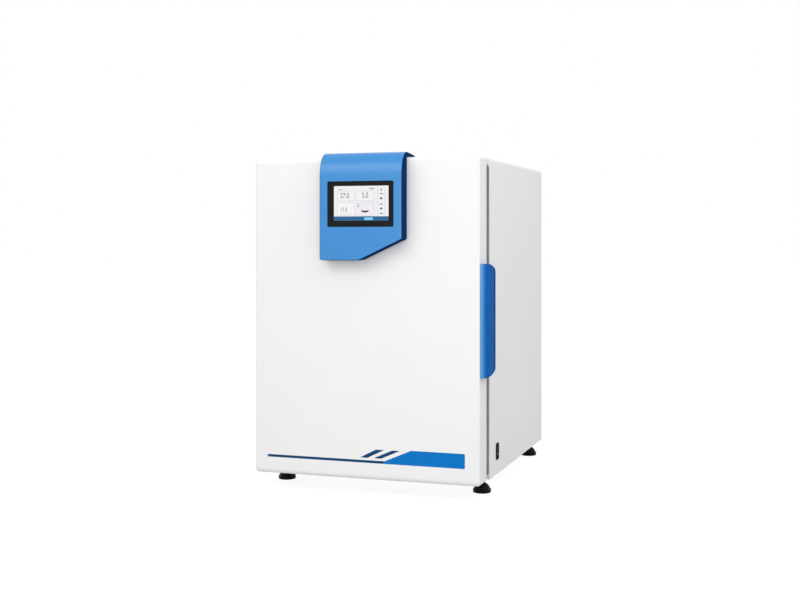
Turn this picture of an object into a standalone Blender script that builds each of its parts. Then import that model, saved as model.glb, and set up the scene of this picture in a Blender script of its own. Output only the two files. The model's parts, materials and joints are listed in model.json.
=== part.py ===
"""Carbon dioxide incubator of the 165 litre class, standing on four levelling feet.

Metres, +Z up, front towards -Y. The origin is on the floor, under the middle of the whole object.
Every piece is placed from the driving dimensions below. A piece that moves has its origin on the
axis of its joint.
"""

import math

import bmesh
import bpy
from mathutils import Matrix, Vector

# Cabinet and outer door
BODY_WIDTH = 0.618
BODY_HEIGHT = 0.830
DOOR_DEPTH = 0.0685
DOOR_GAP = 0.030
CABINET_DEPTH = 0.6465
FOOT_HEIGHT = 0.042
SHEET = 0.0015
CLEARANCE = 0.0003
CASING_RADIUS = 0.008
CASING_LIP = 0.024
FRONT_CHAMFER = 0.0012
TRAY_HEIGHT = 0.030

# Outer door
DOOR_SIDE_RADIUS = 0.0075
DOOR_TOP_RADIUS = 0.010
DOOR_BOTTOM_RADIUS = 0.013
DOOR_CORNER_RADIUS = 0.0085
DOOR_RETURN = 0.026
LINER_INSET = 0.002
LINER_RECESS = 0.010
LINER_FIELD_INSET = 0.040
SEAL_SIDE_INSET = 0.002
SEAL_HINGE_INSET = 0.0205
SEAL_TOP_INSET = 0.014
SEAL_BOTTOM_INSET = 0.008
SEAL_RADIUS = 0.012
SEAL_WIDTH = 0.014
FRAME_PROUD = 0.016
FRAME_CHAMFER = 0.002

# Outer hinges
HINGE_INSET = 0.006
HINGE_END_DISTANCE = 0.115
HINGE_LENGTH = 0.060
KNUCKLE_RADIUS = 0.0055
PIN_RADIUS = 0.0034
PIN_RUNNING = 0.0001
LEAF_THICKNESS = 0.0025
LEAF_EDGE = 0.0015

# Grip on the outer door
GRIP_HEIGHT = 0.288
GRIP_PROUD = 0.020
GRIP_LENGTH = 0.082
GRIP_WALL = 0.004
GRIP_ROOT = 0.036
GRIP_END_LENGTH = 0.060
GRIP_END_HEIGHT = 0.024

# Control panel, hooked over the top of the door
PANEL_WIDTH = 0.224
PANEL_SHIFT = 0.005
PANEL_PROUD = 0.0425
PANEL_DROP = 0.264
PANEL_SIDE_DROP = 0.2094
PANEL_CUT_START = 0.104
PANEL_ARC = 0.0465
PANEL_CREST = 0.0135
PANEL_HOOK = 0.066
PANEL_HOOK_DROP = 0.005
PANEL_WALL = 0.003
PANEL_CORNER = 0.006
BEZEL_WIDTH = 0.1795
BEZEL_HEIGHT = 0.1165
BEZEL_DROP = 0.178
BEZEL_THICKNESS = 0.003
SCREEN_WIDTH = 0.1486
SCREEN_HEIGHT = 0.0888
SCREEN_RISE = 0.0155
SCREEN_SHIFT = 0.0022
SCREEN_RECESS = 0.0004

# Chamber
SIDE_WALL = 0.064
FLOOR_WALL = 0.092
CEILING_WALL = 0.088
REAR_BAY = 0.1265
CHAMBER_RADIUS = 0.015
CHAMBER_WALL = 0.0012
CHAMBER_FLANGE = 0.030
FOAM_BACK = 0.048

# Inner glass door
GLASS_LAP = 0.012
GLASS_THICKNESS = 0.005
GLASS_RADIUS = 0.012
GLASS_SEAL_DEPTH = 0.0057
GLASS_SEAL_WIDTH = 0.010
INNER_HINGE_OFFSET = 0.0075
INNER_KNUCKLE_RADIUS = 0.004
INNER_PIN_RADIUS = 0.0022
INNER_HINGE_LENGTH = 0.036
INNER_HINGE_END_DISTANCE = 0.090
INNER_LEAF_THICKNESS = 0.002
INNER_CLAMP_WIDTH = 0.026

# Latch of the inner door
LATCH_INSET = 0.009
LATCH_HOLE_RADIUS = 0.0045
LATCH_SHANK_RADIUS = 0.0040
LATCH_BOSS_RADIUS = 0.009
LATCH_REACH = 0.045
LATCH_LEVER_WIDTH = 0.012
LATCH_LEVER_THICKNESS = 0.0034
LATCH_GRIP_HEIGHT = 0.008
KEEPER_HEIGHT = 0.026
KEEPER_WALL = 0.003

# Shelves, racks and humidity pan
SHELF_COUNT = 3
SHELF_FIRST_RISE = 0.150
SHELF_LAST_DROP = 0.190
SHELF_THICKNESS = 0.0015
SHELF_FLANGE = 0.014
SHELF_FRONT_SPACE = 0.034
SHELF_BACK_SPACE = 0.076
SLOT_COLUMNS = 4
SLOT_ROWS = 5
SLOT_BRIDGE = 0.014
RACK_DEPTH = 0.012
RACK_POST_WIDTH = 0.022
RACK_FLOOR_SPACE = 0.018
RACK_TOP_SPACE = 0.030
RUNNER_HEIGHT = 0.012
RUNNER_WALL = 0.0015
PAN_SIDE_SPACE = 0.040
PAN_FRONT_SPACE = 0.044
PAN_BACK_SPACE = 0.096
PAN_HEIGHT = 0.048
PAN_WALL = 0.0015
PAN_RIM = 0.010
PAN_RADIUS = 0.030

# Air duct, fan and filter at the back of the chamber
DUCT_SIDE_SPACE = 0.095
DUCT_FLOOR_SPACE = 0.050
DUCT_DEPTH = 0.044
DUCT_WALL = 0.0015
DUCT_TOP_SPACE = 0.020
DUCT_RADIUS = 0.010
OUTLET_WIDTH = 0.064
OUTLET_HEIGHT = 0.009
OUTLET_PITCH = 0.024
OUTLET_RISE = 0.040
FAN_DROP = 0.095
FAN_RADIUS = 0.056
FAN_EYE_RADIUS = 0.038
FAN_DEPTH = 0.024
FAN_PLATE = 0.002
FAN_BLADES = 9
FAN_BLADE_THICKNESS = 0.0018
FAN_SWEEP = 40.0
FAN_FLOOR_SPACE = 0.006
SHAFT_RADIUS = 0.004
SHAFT_HOLE_RADIUS = 0.008
MOTOR_RADIUS = 0.032
MOTOR_DEPTH = 0.050
FILTER_RADIUS = 0.068
FILTER_DEPTH = 0.050
FILTER_CAP = 0.004
FILTER_PLEATS = 18
FILTER_PLEAT_DEPTH = 0.008
INLET_RADIUS = 0.046

# Probes, ports and back
SENSOR_INSET = 0.050
SENSOR_RADIUS = 0.013
SENSOR_REACH = 0.062
PROBE_RADIUS = 0.0025
PROBE_REACH = 0.075
PORT_INSET = 0.050
PORT_DROP = 0.180
PORT_RADIUS = 0.021
PORT_WALL = 0.0025
PORT_FLANGE = 0.008
STOPPER_HEAD = 0.010
STOPPER_REACH = 0.040
SPACER_DEPTH = 0.022
SPACER_WIDTH = 0.040
SPACER_HEIGHT = 0.060
SPACER_INSET = 0.050
SPACER_DROP = 0.040
COVER_WIDTH = 0.300
COVER_HEIGHT = 0.300
COVER_DEPTH = 0.014
COVER_DROP = 0.390
COVER_LAP = 0.020
COVER_LOUVRES = 8
LOUVRE_HEIGHT = 0.006
INLET_INSET = 0.119
INLET_RISE = 0.100
INLET_WIDTH = 0.028
INLET_HEIGHT = 0.021
INLET_FLANGE = 0.009
GAS_INSET = 0.119
GAS_RISE = 0.100
GAS_BARB_RADIUS = 0.0045
DATA_INSET = 0.199
POWER_WIDTH = 0.160
POWER_HEIGHT = 0.110
POWER_DEPTH = 0.045
POWER_RISE = 0.200

# Rocker switch on the right side
SWITCH_BACKSET = 0.0795
SWITCH_RISE = 0.060
SWITCH_WIDTH = 0.030
SWITCH_HEIGHT = 0.044
SWITCH_RIM = 0.0035
SWITCH_PROUD = 0.0015
SWITCH_BODY = 0.020
ROCKER_TILT = 5.0
ROCKER_SINK = 0.0006

# Feet
FOOT_INSET_SIDE = 0.031
FOOT_INSET_FRONT = 0.040
FOOT_INSET_BACK = 0.046
FOOT_RADIUS = 0.024
FOOT_RIM = 0.009
FOOT_DOME = 0.027
STEM_RADIUS = 0.005
NUT_ACROSS = 0.017
NUT_HEIGHT = 0.006

# Planes that the driving dimensions set
BODY_DEPTH = DOOR_DEPTH + DOOR_GAP + CABINET_DEPTH
DOOR_FRONT = PANEL_PROUD - (PANEL_PROUD + BODY_DEPTH + SPACER_DEPTH) / 2
DOOR_BACK = DOOR_FRONT + DOOR_DEPTH
FACE = DOOR_BACK + DOOR_GAP
BACK = FACE + CABINET_DEPTH
MID = -GRIP_PROUD / 2
LEFT = MID - BODY_WIDTH / 2
RIGHT = MID + BODY_WIDTH / 2
BASE = FOOT_HEIGHT
TOP = BASE + BODY_HEIGHT
CHAMBER_WIDTH = BODY_WIDTH - 2 * SIDE_WALL
CHAMBER_HEIGHT = BODY_HEIGHT - FLOOR_WALL - CEILING_WALL
CHAMBER_DEPTH = CABINET_DEPTH - REAR_BAY
CHAMBER_FLOOR = BASE + FLOOR_WALL
CHAMBER_CEILING = CHAMBER_FLOOR + CHAMBER_HEIGHT
CHAMBER_LEFT = MID - CHAMBER_WIDTH / 2
CHAMBER_RIGHT = MID + CHAMBER_WIDTH / 2
CHAMBER_BACK = FACE + CHAMBER_DEPTH
FOAM_END = CHAMBER_BACK + CHAMBER_WALL + FOAM_BACK
DUCT_FRONT = CHAMBER_BACK - CLEARANCE - DUCT_DEPTH
DUCT_WIDTH = CHAMBER_WIDTH - 2 * DUCT_SIDE_SPACE
DUCT_TOP = CHAMBER_CEILING - DUCT_TOP_SPACE
DUCT_BOTTOM = CHAMBER_FLOOR + DUCT_FLOOR_SPACE
FAN_HEIGHT = DUCT_TOP - FAN_DROP
PORT_HEIGHT = CHAMBER_CEILING - PORT_DROP
PORT_X = CHAMBER_RIGHT - PORT_INSET
INLET_X = LEFT + INLET_INSET
DATA_X = LEFT + DATA_INSET
GAS_X = RIGHT - GAS_INSET
COVER_BOTTOM = TOP - COVER_DROP
PAN_WIDTH = CHAMBER_WIDTH - 2 * PAN_SIDE_SPACE
SHELF_DEPTH = CHAMBER_DEPTH - SHELF_FRONT_SPACE - SHELF_BACK_SPACE
SHELF_PITCH = (CHAMBER_HEIGHT - SHELF_FIRST_RISE - SHELF_LAST_DROP) / (SHELF_COUNT - 1)
GRIP_BOTTOM = (BASE + TOP - GRIP_HEIGHT) / 2
PANEL_BOTTOM = TOP - PANEL_DROP
BEZEL_BOTTOM = TOP - BEZEL_DROP
REAR_PANEL_FRONT = BACK - SHEET

# Facets
CORNER_STEPS = 3
EDGE_STEPS = 4
SMALL_STEPS = 12
ROUND_STEPS = 16
FINE_STEPS = 24


def remove_all():
    """Empty the scene, so that the part stands alone in it."""
    for obj in list(bpy.data.objects):
        bpy.data.objects.remove(obj, do_unlink=True)


def finish(name, colour, roughness, metallic=0.0):
    """A Principled material, made once under its name."""
    material = bpy.data.materials.get(name)
    if material is None:
        material = bpy.data.materials.new(name)
        material.use_nodes = True
        shader = material.node_tree.nodes["Principled BSDF"]
        shader.inputs["Base Color"].default_value = (*colour, 1.0)
        shader.inputs["Roughness"].default_value = roughness
        shader.inputs["Metallic"].default_value = metallic
    return material


def white_paint():
    return finish("white_powder_coat", (0.80, 0.80, 0.81), 0.45)


def grey_paint():
    return finish("grey_powder_coat", (0.45, 0.46, 0.47), 0.5)


def stainless():
    return finish("stainless_steel", (0.60, 0.60, 0.60), 0.28, 1.0)


def plated_steel():
    return finish("plated_steel", (0.55, 0.55, 0.56), 0.35, 1.0)


def blue_plastic():
    return finish("blue_plastic", (0.04, 0.25, 0.63), 0.35)


def black_plastic():
    return finish("black_plastic", (0.015, 0.015, 0.016), 0.4)


def grey_plastic():
    return finish("grey_plastic", (0.10, 0.10, 0.11), 0.5)


def dark_rubber():
    return finish("dark_rubber", (0.05, 0.05, 0.055), 0.75)


def silicone():
    return finish("silicone", (0.55, 0.57, 0.58), 0.6)


def screen_glass():
    return finish("screen_glass", (0.75, 0.80, 0.84), 0.1)


def clear_glass():
    return finish("clear_glass", (0.80, 0.88, 0.86), 0.05)


def foam():
    return finish("insulation_foam", (0.85, 0.80, 0.62), 0.9)


def filter_paper():
    return finish("filter_paper", (0.85, 0.86, 0.84), 0.85)


def circuit_board():
    return finish("circuit_board", (0.02, 0.18, 0.08), 0.5)


def at(axis, u, v, w):
    """A point w along the axis and (u, v) across it, in X, Y, Z order."""
    if axis == "X":
        return Vector((w, u, v))
    if axis == "Y":
        return Vector((u, w, v))
    return Vector((u, v, w))


def rectangle(u0, u1, v0, v1, radius=0.0, steps=CORNER_STEPS):
    """Outline of a rectangle, with quarter rounds at its corners if it has a radius."""
    if radius <= 0:
        return [(u0, v0), (u1, v0), (u1, v1), (u0, v1)]
    corners = ((u1, v0, -1, 1, 270), (u1, v1, -1, -1, 0), (u0, v1, 1, -1, 90), (u0, v0, 1, 1, 180))
    points = []
    for u, v, inwards, upwards, start in corners:
        for step in range(steps + 1):
            turn = math.radians(start + 90 * step / steps)
            points.append((
                u + inwards * radius + radius * math.cos(turn),
                v + upwards * radius + radius * math.sin(turn),
            ))
    return points


def circle(u, v, radius, steps=ROUND_STEPS, start=0.0):
    turns = [start + 2 * math.pi * step / steps for step in range(steps)]
    return [(u + radius * math.cos(turn), v + radius * math.sin(turn)) for turn in turns]


def arc(u, v, radius, first, last, steps=CORNER_STEPS):
    """Points of an arc between two angles in degrees."""
    turns = [math.radians(first + (last - first) * step / steps) for step in range(steps + 1)]
    return [(u + radius * math.cos(turn), v + radius * math.sin(turn)) for turn in turns]


def loft(axis, sections, ring=False):
    """Skin equal outlines, each (points, place along the axis); a ring closes on itself, others get end caps."""
    shape = bmesh.new()
    loops = [[shape.verts.new(at(axis, u, v, w)) for u, v in points] for points, w in sections]
    pairs = list(zip(loops, loops[1:]))
    if ring:
        pairs.append((loops[-1], loops[0]))
    for near, far in pairs:
        for i in range(len(near)):
            following = (i + 1) % len(near)
            shape.faces.new((near[i], near[following], far[following], far[i]))
    if not ring:
        shape.faces.new(loops[0])
        shape.faces.new(loops[-1])
    bmesh.ops.recalc_face_normals(shape, faces=shape.faces)
    return shape


def prism(axis, outline, low, high):
    return loft(axis, [(outline, low), (outline, high)])


def block(x0, x1, y0, y1, z0, z1, radius=0.0, axis="Y"):
    """A box, with rounded edges along one axis if it has a radius."""
    spans = {"X": (y0, y1, z0, z1, x0, x1), "Y": (x0, x1, z0, z1, y0, y1), "Z": (x0, x1, y0, y1, z0, z1)}
    u0, u1, v0, v1, low, high = spans[axis]
    return prism(axis, rectangle(u0, u1, v0, v1, radius), low, high)


def turned(axis, u, v, profile, steps=ROUND_STEPS, ring=False):
    """A turned shape: its profile is a list of (radius, place along the axis)."""
    return loft(axis, [(circle(u, v, radius, steps), w) for radius, w in profile], ring)


def merged(shapes):
    """Several separate shapes as one tool."""
    whole = bmesh.new()
    for shape in shapes:
        mesh = bpy.data.meshes.new("piece_of_tool")
        shape.to_mesh(mesh)
        shape.free()
        whole.from_mesh(mesh)
        bpy.data.meshes.remove(mesh)
    return whole


def solid(name, shape, material):
    """Put a shape in the scene as a named piece."""
    mesh = bpy.data.meshes.new(name)
    shape.to_mesh(mesh)
    shape.free()
    piece = bpy.data.objects.new(name, mesh)
    bpy.context.scene.collection.objects.link(piece)
    mesh.materials.append(material)
    mesh.shade_smooth()
    mesh.set_sharp_from_angle(angle=math.radians(35))
    return piece


def combine(piece, shape, operation):
    """Cut, join or keep with a hidden tool, by a Boolean modifier."""
    number = len(piece.modifiers) + 1
    tool = solid(f"{piece.name}_tool_{number}", shape, piece.data.materials[0])
    tool.hide_render = True
    tool.display_type = "WIRE"
    modifier = piece.modifiers.new(f"{operation.lower()}_{number}", "BOOLEAN")
    modifier.operation = operation
    modifier.solver = "EXACT"
    modifier.object = tool
    return piece


def cut(piece, *shapes):
    for shape in shapes:
        combine(piece, shape, "DIFFERENCE")
    return piece


def join(piece, *shapes):
    for shape in shapes:
        combine(piece, shape, "UNION")
    return piece


def turn_about(piece, point):
    """Move the piece's origin to a point of its joint's axis, and leave the piece where it is."""
    bpy.context.view_layer.update()
    offset = Vector(point)
    piece.data.transform(Matrix.Translation(-offset))
    piece.location = offset
    return piece


def body_outline(inset, radius, sides=(1.0, 1.0, 1.0)):
    """The front outline of the body, drawn in by an inset times a share for sides, top and bottom."""
    side, top, bottom = (inset * share for share in sides)
    return rectangle(LEFT + side, RIGHT - side, BASE + bottom, TOP - top, radius)


def seal_outline(inset, radius):
    """Outline that the front frame and the outer door's seal share, drawn in by an inset."""
    return rectangle(
        LEFT + SEAL_HINGE_INSET + inset,
        RIGHT - SEAL_SIDE_INSET - inset,
        BASE + SEAL_BOTTOM_INSET + inset,
        TOP - SEAL_TOP_INSET - inset,
        radius,
    )


def chamber_outline(margin, radius):
    """Outline of the chamber's opening, with a margin all round."""
    return rectangle(
        CHAMBER_LEFT - margin,
        CHAMBER_RIGHT + margin,
        CHAMBER_FLOOR - margin,
        CHAMBER_CEILING + margin,
        radius,
    )


def foot_places():
    left = LEFT + FOOT_INSET_SIDE
    right = RIGHT - FOOT_INSET_SIDE
    front = FACE + FOOT_INSET_FRONT
    back = BACK - FOOT_INSET_BACK
    return {
        "front_left": (left, front),
        "front_right": (right, front),
        "rear_left": (left, back),
        "rear_right": (right, back),
    }


def casing_outline(inset):
    """Folded sheet of the casing seen from the front: an upturned U with rounded shoulders."""
    outer = CASING_RADIUS - inset
    inner = CASING_RADIUS - SHEET
    points = [(LEFT + inset, BASE)]
    points += arc(LEFT + CASING_RADIUS, TOP - CASING_RADIUS, outer, 180, 90)
    points += arc(RIGHT - CASING_RADIUS, TOP - CASING_RADIUS, outer, 90, 0)
    points += [(RIGHT - inset, BASE), (RIGHT - SHEET, BASE)]
    points += arc(RIGHT - CASING_RADIUS, TOP - CASING_RADIUS, inner, 0, 90)
    points += arc(LEFT + CASING_RADIUS, TOP - CASING_RADIUS, inner, 90, 180)
    points.append((LEFT + SHEET, BASE))
    return points


def make_casing():
    """Painted wrap of both sides and the top, with a lip folded in round the front."""
    casing = solid(
        "outer_casing",
        loft("Y", [
            (casing_outline(FRONT_CHAMFER), FACE),
            (casing_outline(0.0), FACE + FRONT_CHAMFER),
            (casing_outline(0.0), BACK),
        ]),
        white_paint(),
    )
    half_sheet = SHEET / 2
    lip = loft("Y", [
        (body_outline(half_sheet, CASING_RADIUS - half_sheet), FACE),
        (body_outline(half_sheet, CASING_RADIUS - half_sheet), FACE + SHEET),
        (body_outline(CASING_LIP, CASING_RADIUS), FACE + SHEET),
        (body_outline(CASING_LIP, CASING_RADIUS), FACE),
    ], ring=True)
    join(casing, lip)
    y = FACE + SWITCH_BACKSET
    z = BASE + SWITCH_RISE
    half_width = SWITCH_WIDTH / 2 - SWITCH_RIM + CLEARANCE
    half_height = SWITCH_HEIGHT / 2 - SWITCH_RIM + CLEARANCE
    cut(casing, block(
        RIGHT - SHEET - 0.01, RIGHT + 0.01, y - half_width, y + half_width, z - half_height, z + half_height))


def make_base_tray():
    """Folded floor of the cabinet, which takes the feet."""
    left = LEFT + SHEET + CLEARANCE
    right = RIGHT - SHEET - CLEARANCE
    front = FACE + SHEET + CLEARANCE
    back = REAR_PANEL_FRONT - CLEARANCE
    outer = rectangle(left, right, front, back)
    inner = rectangle(left + SHEET, right - SHEET, front + SHEET, back - SHEET)
    tray = solid(
        "base_tray",
        loft("Z", [
            (outer, BASE),
            (outer, BASE + TRAY_HEIGHT),
            (inner, BASE + TRAY_HEIGHT),
            (inner, BASE + SHEET),
        ]),
        plated_steel(),
    )
    hole = STEM_RADIUS + CLEARANCE
    cut(tray, merged([
        turned("Z", x, y, [(hole, BASE - 0.01), (hole, BASE + 0.01)], SMALL_STEPS)
        for x, y in foot_places().values()
    ]))


def make_chamber():
    """Stainless inner chamber with coved corners and a flange round its mouth."""
    steps = [(math.sin(turn), 1 - math.cos(turn)) for turn in (math.radians(45 * k) for k in range(3))]
    sections = []
    for along, across in reversed(steps):
        sections.append((
            chamber_outline(-CHAMBER_RADIUS * across, CHAMBER_RADIUS * (1.001 - across) + 0.0005),
            CHAMBER_BACK - CHAMBER_RADIUS * (1 - along),
        ))
    sections.append((chamber_outline(0.0, CHAMBER_RADIUS), FACE))
    flange_radius = CASING_RADIUS
    sections.append((chamber_outline(CHAMBER_FLANGE, flange_radius), FACE))
    sections.append((chamber_outline(CHAMBER_FLANGE, flange_radius), FACE + CHAMBER_WALL))
    outer_radius = CHAMBER_RADIUS + CHAMBER_WALL
    sections.append((chamber_outline(CHAMBER_WALL, outer_radius), FACE + CHAMBER_WALL))
    for along, across in steps:
        sections.append((
            chamber_outline(CHAMBER_WALL - outer_radius * across, outer_radius * (1.001 - across) + 0.0005),
            CHAMBER_BACK + CHAMBER_WALL - outer_radius * (1 - along),
        ))
    chamber = solid("chamber", loft("Y", sections), stainless())
    holes = [
        (PORT_X, PORT_HEIGHT, PORT_RADIUS + PORT_WALL + CLEARANCE),
        (MID, FAN_HEIGHT, SHAFT_HOLE_RADIUS),
    ]
    cut(chamber, merged([
        turned("Y", x, z, [(radius, CHAMBER_BACK - 0.01), (radius, CHAMBER_BACK + 0.01)])
        for x, z, radius in holes
    ]))


def make_insulation():
    """Foam round the chamber, open at the front, with pockets for what passes through it."""
    margin = CHAMBER_WALL + CLEARANCE
    side = SHEET + CLEARANCE
    front = FACE + SHEET + CLEARANCE
    outer = rectangle(
        LEFT + side, RIGHT - side, BASE + TRAY_HEIGHT + CLEARANCE, TOP - side, CASING_RADIUS)
    inner = chamber_outline(margin, CHAMBER_RADIUS)
    insulation = solid(
        "insulation",
        loft("Y", [
            (outer, FOAM_END),
            (outer, front),
            (inner, front),
            (inner, CHAMBER_BACK + margin),
        ]),
        foam(),
    )
    port = PORT_RADIUS + PORT_WALL + CLEARANCE
    y = FACE + SWITCH_BACKSET
    z = BASE + SWITCH_RISE
    reach = SWITCH_BODY + 2 * CLEARANCE
    cut(
        insulation,
        turned("Y", PORT_X, PORT_HEIGHT, [(port, CHAMBER_BACK - 0.01), (port, FOAM_END + 0.01)]),
        turned("Y", MID, FAN_HEIGHT, [
            (SHAFT_HOLE_RADIUS, CHAMBER_BACK - 0.01), (SHAFT_HOLE_RADIUS, FOAM_END + 0.01)]),
        block(RIGHT - reach, RIGHT + 0.01, y - SWITCH_WIDTH / 2, y + SWITCH_WIDTH / 2,
              z - SWITCH_HEIGHT / 2, z + SWITCH_HEIGHT / 2),
    )


def make_front_frame():
    """Moulded frame between the casing's lip and the chamber's flange, where the outer door seals."""
    front = FACE - FRAME_PROUD
    back = FACE - CLEARANCE
    margin = CHAMBER_FLANGE - 0.003
    outer = SEAL_RADIUS
    solid(
        "front_frame",
        loft("Y", [
            (seal_outline(0.0, outer), back),
            (seal_outline(0.0, outer), front + FRAME_CHAMFER),
            (seal_outline(FRAME_CHAMFER, outer), front),
            (chamber_outline(margin + FRAME_CHAMFER, outer), front),
            (chamber_outline(margin, outer), front + FRAME_CHAMFER),
            (chamber_outline(margin, outer), back),
        ], ring=True),
        grey_plastic(),
    )


def make_rear_panel():
    """Sheet that closes the back of the casing, with its cut-outs."""
    left = LEFT + SHEET + CLEARANCE
    right = RIGHT - SHEET - CLEARANCE
    panel = solid(
        "rear_panel",
        prism("Y", rectangle(left, right, BASE, TOP - SHEET - CLEARANCE, CASING_RADIUS - SHEET),
              REAR_PANEL_FRONT, BACK),
        white_paint(),
    )
    port = PORT_RADIUS + PORT_WALL + CLEARANCE
    gas = GAS_BARB_RADIUS + CLEARANCE
    opening = COVER_WIDTH / 2 - COVER_LAP
    cut(
        panel,
        turned("Y", PORT_X, PORT_HEIGHT, [(port, BACK - 0.01), (port, BACK + 0.01)]),
        turned("Y", GAS_X, BASE + GAS_RISE, [(gas, BACK - 0.01), (gas, BACK + 0.01)]),
        block(MID - opening, MID + opening, BACK - 0.01, BACK + 0.01,
              COVER_BOTTOM + COVER_LAP, COVER_BOTTOM + COVER_HEIGHT - COVER_LAP),
        prism("Y", socket_outline(INLET_X, CLEARANCE), BACK - 0.01, BACK + 0.01),
        prism("Y", socket_outline(DATA_X, CLEARANCE), BACK - 0.01, BACK + 0.01),
    )


def socket_outline(x, margin, radius=0.003):
    """Outline of a socket in the rear panel, with a margin all round."""
    half_width = INLET_WIDTH / 2 + margin
    half_height = INLET_HEIGHT / 2 + margin
    z = BASE + INLET_RISE
    return rectangle(x - half_width, x + half_width, z - half_height, z + half_height, radius)


def make_service_cover():
    """Louvred cover over the electronics bay, proud of the rear panel."""
    half = COVER_WIDTH / 2
    bottom = COVER_BOTTOM
    top = bottom + COVER_HEIGHT
    front = BACK + CLEARANCE
    outer = rectangle(MID - half, MID + half, bottom, top, CASING_RADIUS)
    proud = rectangle(MID - half + 0.004, MID + half - 0.004, bottom + 0.004, top - 0.004, CASING_RADIUS)
    inner = rectangle(MID - half + SHEET, MID + half - SHEET, bottom + SHEET, top - SHEET, CASING_RADIUS)
    cover = solid(
        "service_cover",
        loft("Y", [
            (proud, front + COVER_DEPTH),
            (outer, front + COVER_DEPTH - 0.004),
            (outer, front),
            (inner, front),
            (inner, front + COVER_DEPTH - SHEET - 0.002),
        ]),
        white_paint(),
    )
    pitch = 2.4 * LOUVRE_HEIGHT
    first = bottom + 0.040
    louvres = []
    for column in (-1, 1):
        x = MID + column * COVER_WIDTH / 4
        for row in range(COVER_LOUVRES):
            z = first + row * pitch
            louvres.append(block(
                x - COVER_WIDTH / 6, x + COVER_WIDTH / 6, front + COVER_DEPTH / 2, front + COVER_DEPTH + 0.01,
                z, z + LOUVRE_HEIGHT))
    cut(cover, merged(louvres))


def make_spacers():
    """Buffers that keep the back off a wall."""
    z = TOP - SPACER_DROP - SPACER_HEIGHT
    for side, name in ((-1, "left"), (1, "right")):
        x = MID + side * (BODY_WIDTH / 2 - SPACER_INSET)
        half = SPACER_WIDTH / 2
        front = BACK + CLEARANCE
        solid(
            f"wall_spacer_{name}",
            loft("Y", [
                (rectangle(x - half, x + half, z, z + SPACER_HEIGHT, 0.008), front),
                (rectangle(x - half, x + half, z, z + SPACER_HEIGHT, 0.008), front + 0.006),
                (rectangle(x - half + 0.010, x + half - 0.010, z + 0.012, z + SPACER_HEIGHT - 0.012, 0.006),
                 BACK + SPACER_DEPTH),
            ]),
            black_plastic(),
        )


def make_mains_inlet():
    """Mains socket with three pins in its well."""
    z = BASE + INLET_RISE
    x = INLET_X
    inlet = solid(
        "mains_inlet",
        loft("Y", [
            (socket_outline(INLET_X, 0.0), BACK - 0.024),
            (socket_outline(INLET_X, 0.0), BACK + CLEARANCE),
            (socket_outline(INLET_X, INLET_FLANGE, 0.006), BACK + CLEARANCE),
            (socket_outline(INLET_X, INLET_FLANGE, 0.006), BACK + 0.003),
            (socket_outline(INLET_X, INLET_FLANGE - 0.0015, 0.006), BACK + 0.004),
            (socket_outline(INLET_X, -0.002), BACK + 0.004),
            (socket_outline(INLET_X, -0.002), BACK - 0.014),
        ]),
        black_plastic(),
    )
    pins = []
    for across, up in ((-0.007, -0.002), (0.0, 0.003), (0.007, -0.002)):
        pins.append(block(x + across - 0.001, x + across + 0.001, BACK - 0.016, BACK - 0.002,
                          z + up - 0.002, z + up + 0.002))
    join(inlet, merged(pins))


def make_data_port():
    """Socket for the monitoring lead."""
    solid(
        "data_port",
        loft("Y", [
            (socket_outline(DATA_X, 0.0), BACK - 0.018),
            (socket_outline(DATA_X, 0.0), BACK + CLEARANCE),
            (socket_outline(DATA_X, 0.003, 0.003), BACK + CLEARANCE),
            (socket_outline(DATA_X, 0.003, 0.003), BACK + 0.0025),
            (socket_outline(DATA_X, -0.0035, 0.001), BACK + 0.0025),
            (socket_outline(DATA_X, -0.0035, 0.001), BACK - 0.012),
        ]),
        grey_plastic(),
    )


def make_gas_inlet():
    """Hose barb for the carbon dioxide supply."""
    z = BASE + GAS_RISE
    bore = GAS_BARB_RADIUS * 0.45
    profile = [(bore, BACK - 0.012), (GAS_BARB_RADIUS, BACK - 0.012), (GAS_BARB_RADIUS, BACK + CLEARANCE)]
    profile += [(GAS_BARB_RADIUS * 2, BACK + CLEARANCE), (GAS_BARB_RADIUS * 2, BACK + 0.005)]
    for ridge in range(3):
        start = BACK + 0.006 + ridge * 0.0045
        profile += [(GAS_BARB_RADIUS * 1.15, start), (GAS_BARB_RADIUS * 0.85, start + 0.0043)]
    profile += [(bore, BACK + 0.0193)]
    solid("gas_inlet", turned("Y", GAS_X, z, profile, SMALL_STEPS, ring=True), plated_steel())


def make_access_port():
    """Lined port through the back of the chamber, and the stopper that closes it."""
    outer = PORT_RADIUS + PORT_WALL
    flange = outer + PORT_FLANGE
    inside = CHAMBER_BACK - CLEARANCE
    outside = BACK + CLEARANCE
    end = BACK + 0.0100
    solid(
        "access_port_sleeve",
        turned("Y", PORT_X, PORT_HEIGHT, [
            (PORT_RADIUS, inside - 0.0025),
            (outer, inside - 0.0025),
            (outer, outside),
            (flange, outside),
            (flange, outside + 0.0040),
            (outer, outside + 0.0052),
            (outer, end),
            (PORT_RADIUS, end),
        ], ring=True),
        silicone(),
    )
    seat = end + CLEARANCE
    wide = PORT_RADIUS - CLEARANCE
    stopper = solid(
        "port_stopper",
        turned("Y", PORT_X, PORT_HEIGHT, [
            (wide - 0.0030, seat - STOPPER_REACH),
            (wide - 0.0020, seat - STOPPER_REACH + 0.003),
            (wide, seat),
            (outer + 0.002, seat),
            (outer + 0.002, seat + STOPPER_HEAD - 0.003),
            (outer - 0.001, seat + STOPPER_HEAD),
        ]),
        dark_rubber(),
    )
    turn_about(stopper, (PORT_X, seat, PORT_HEIGHT))


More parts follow.
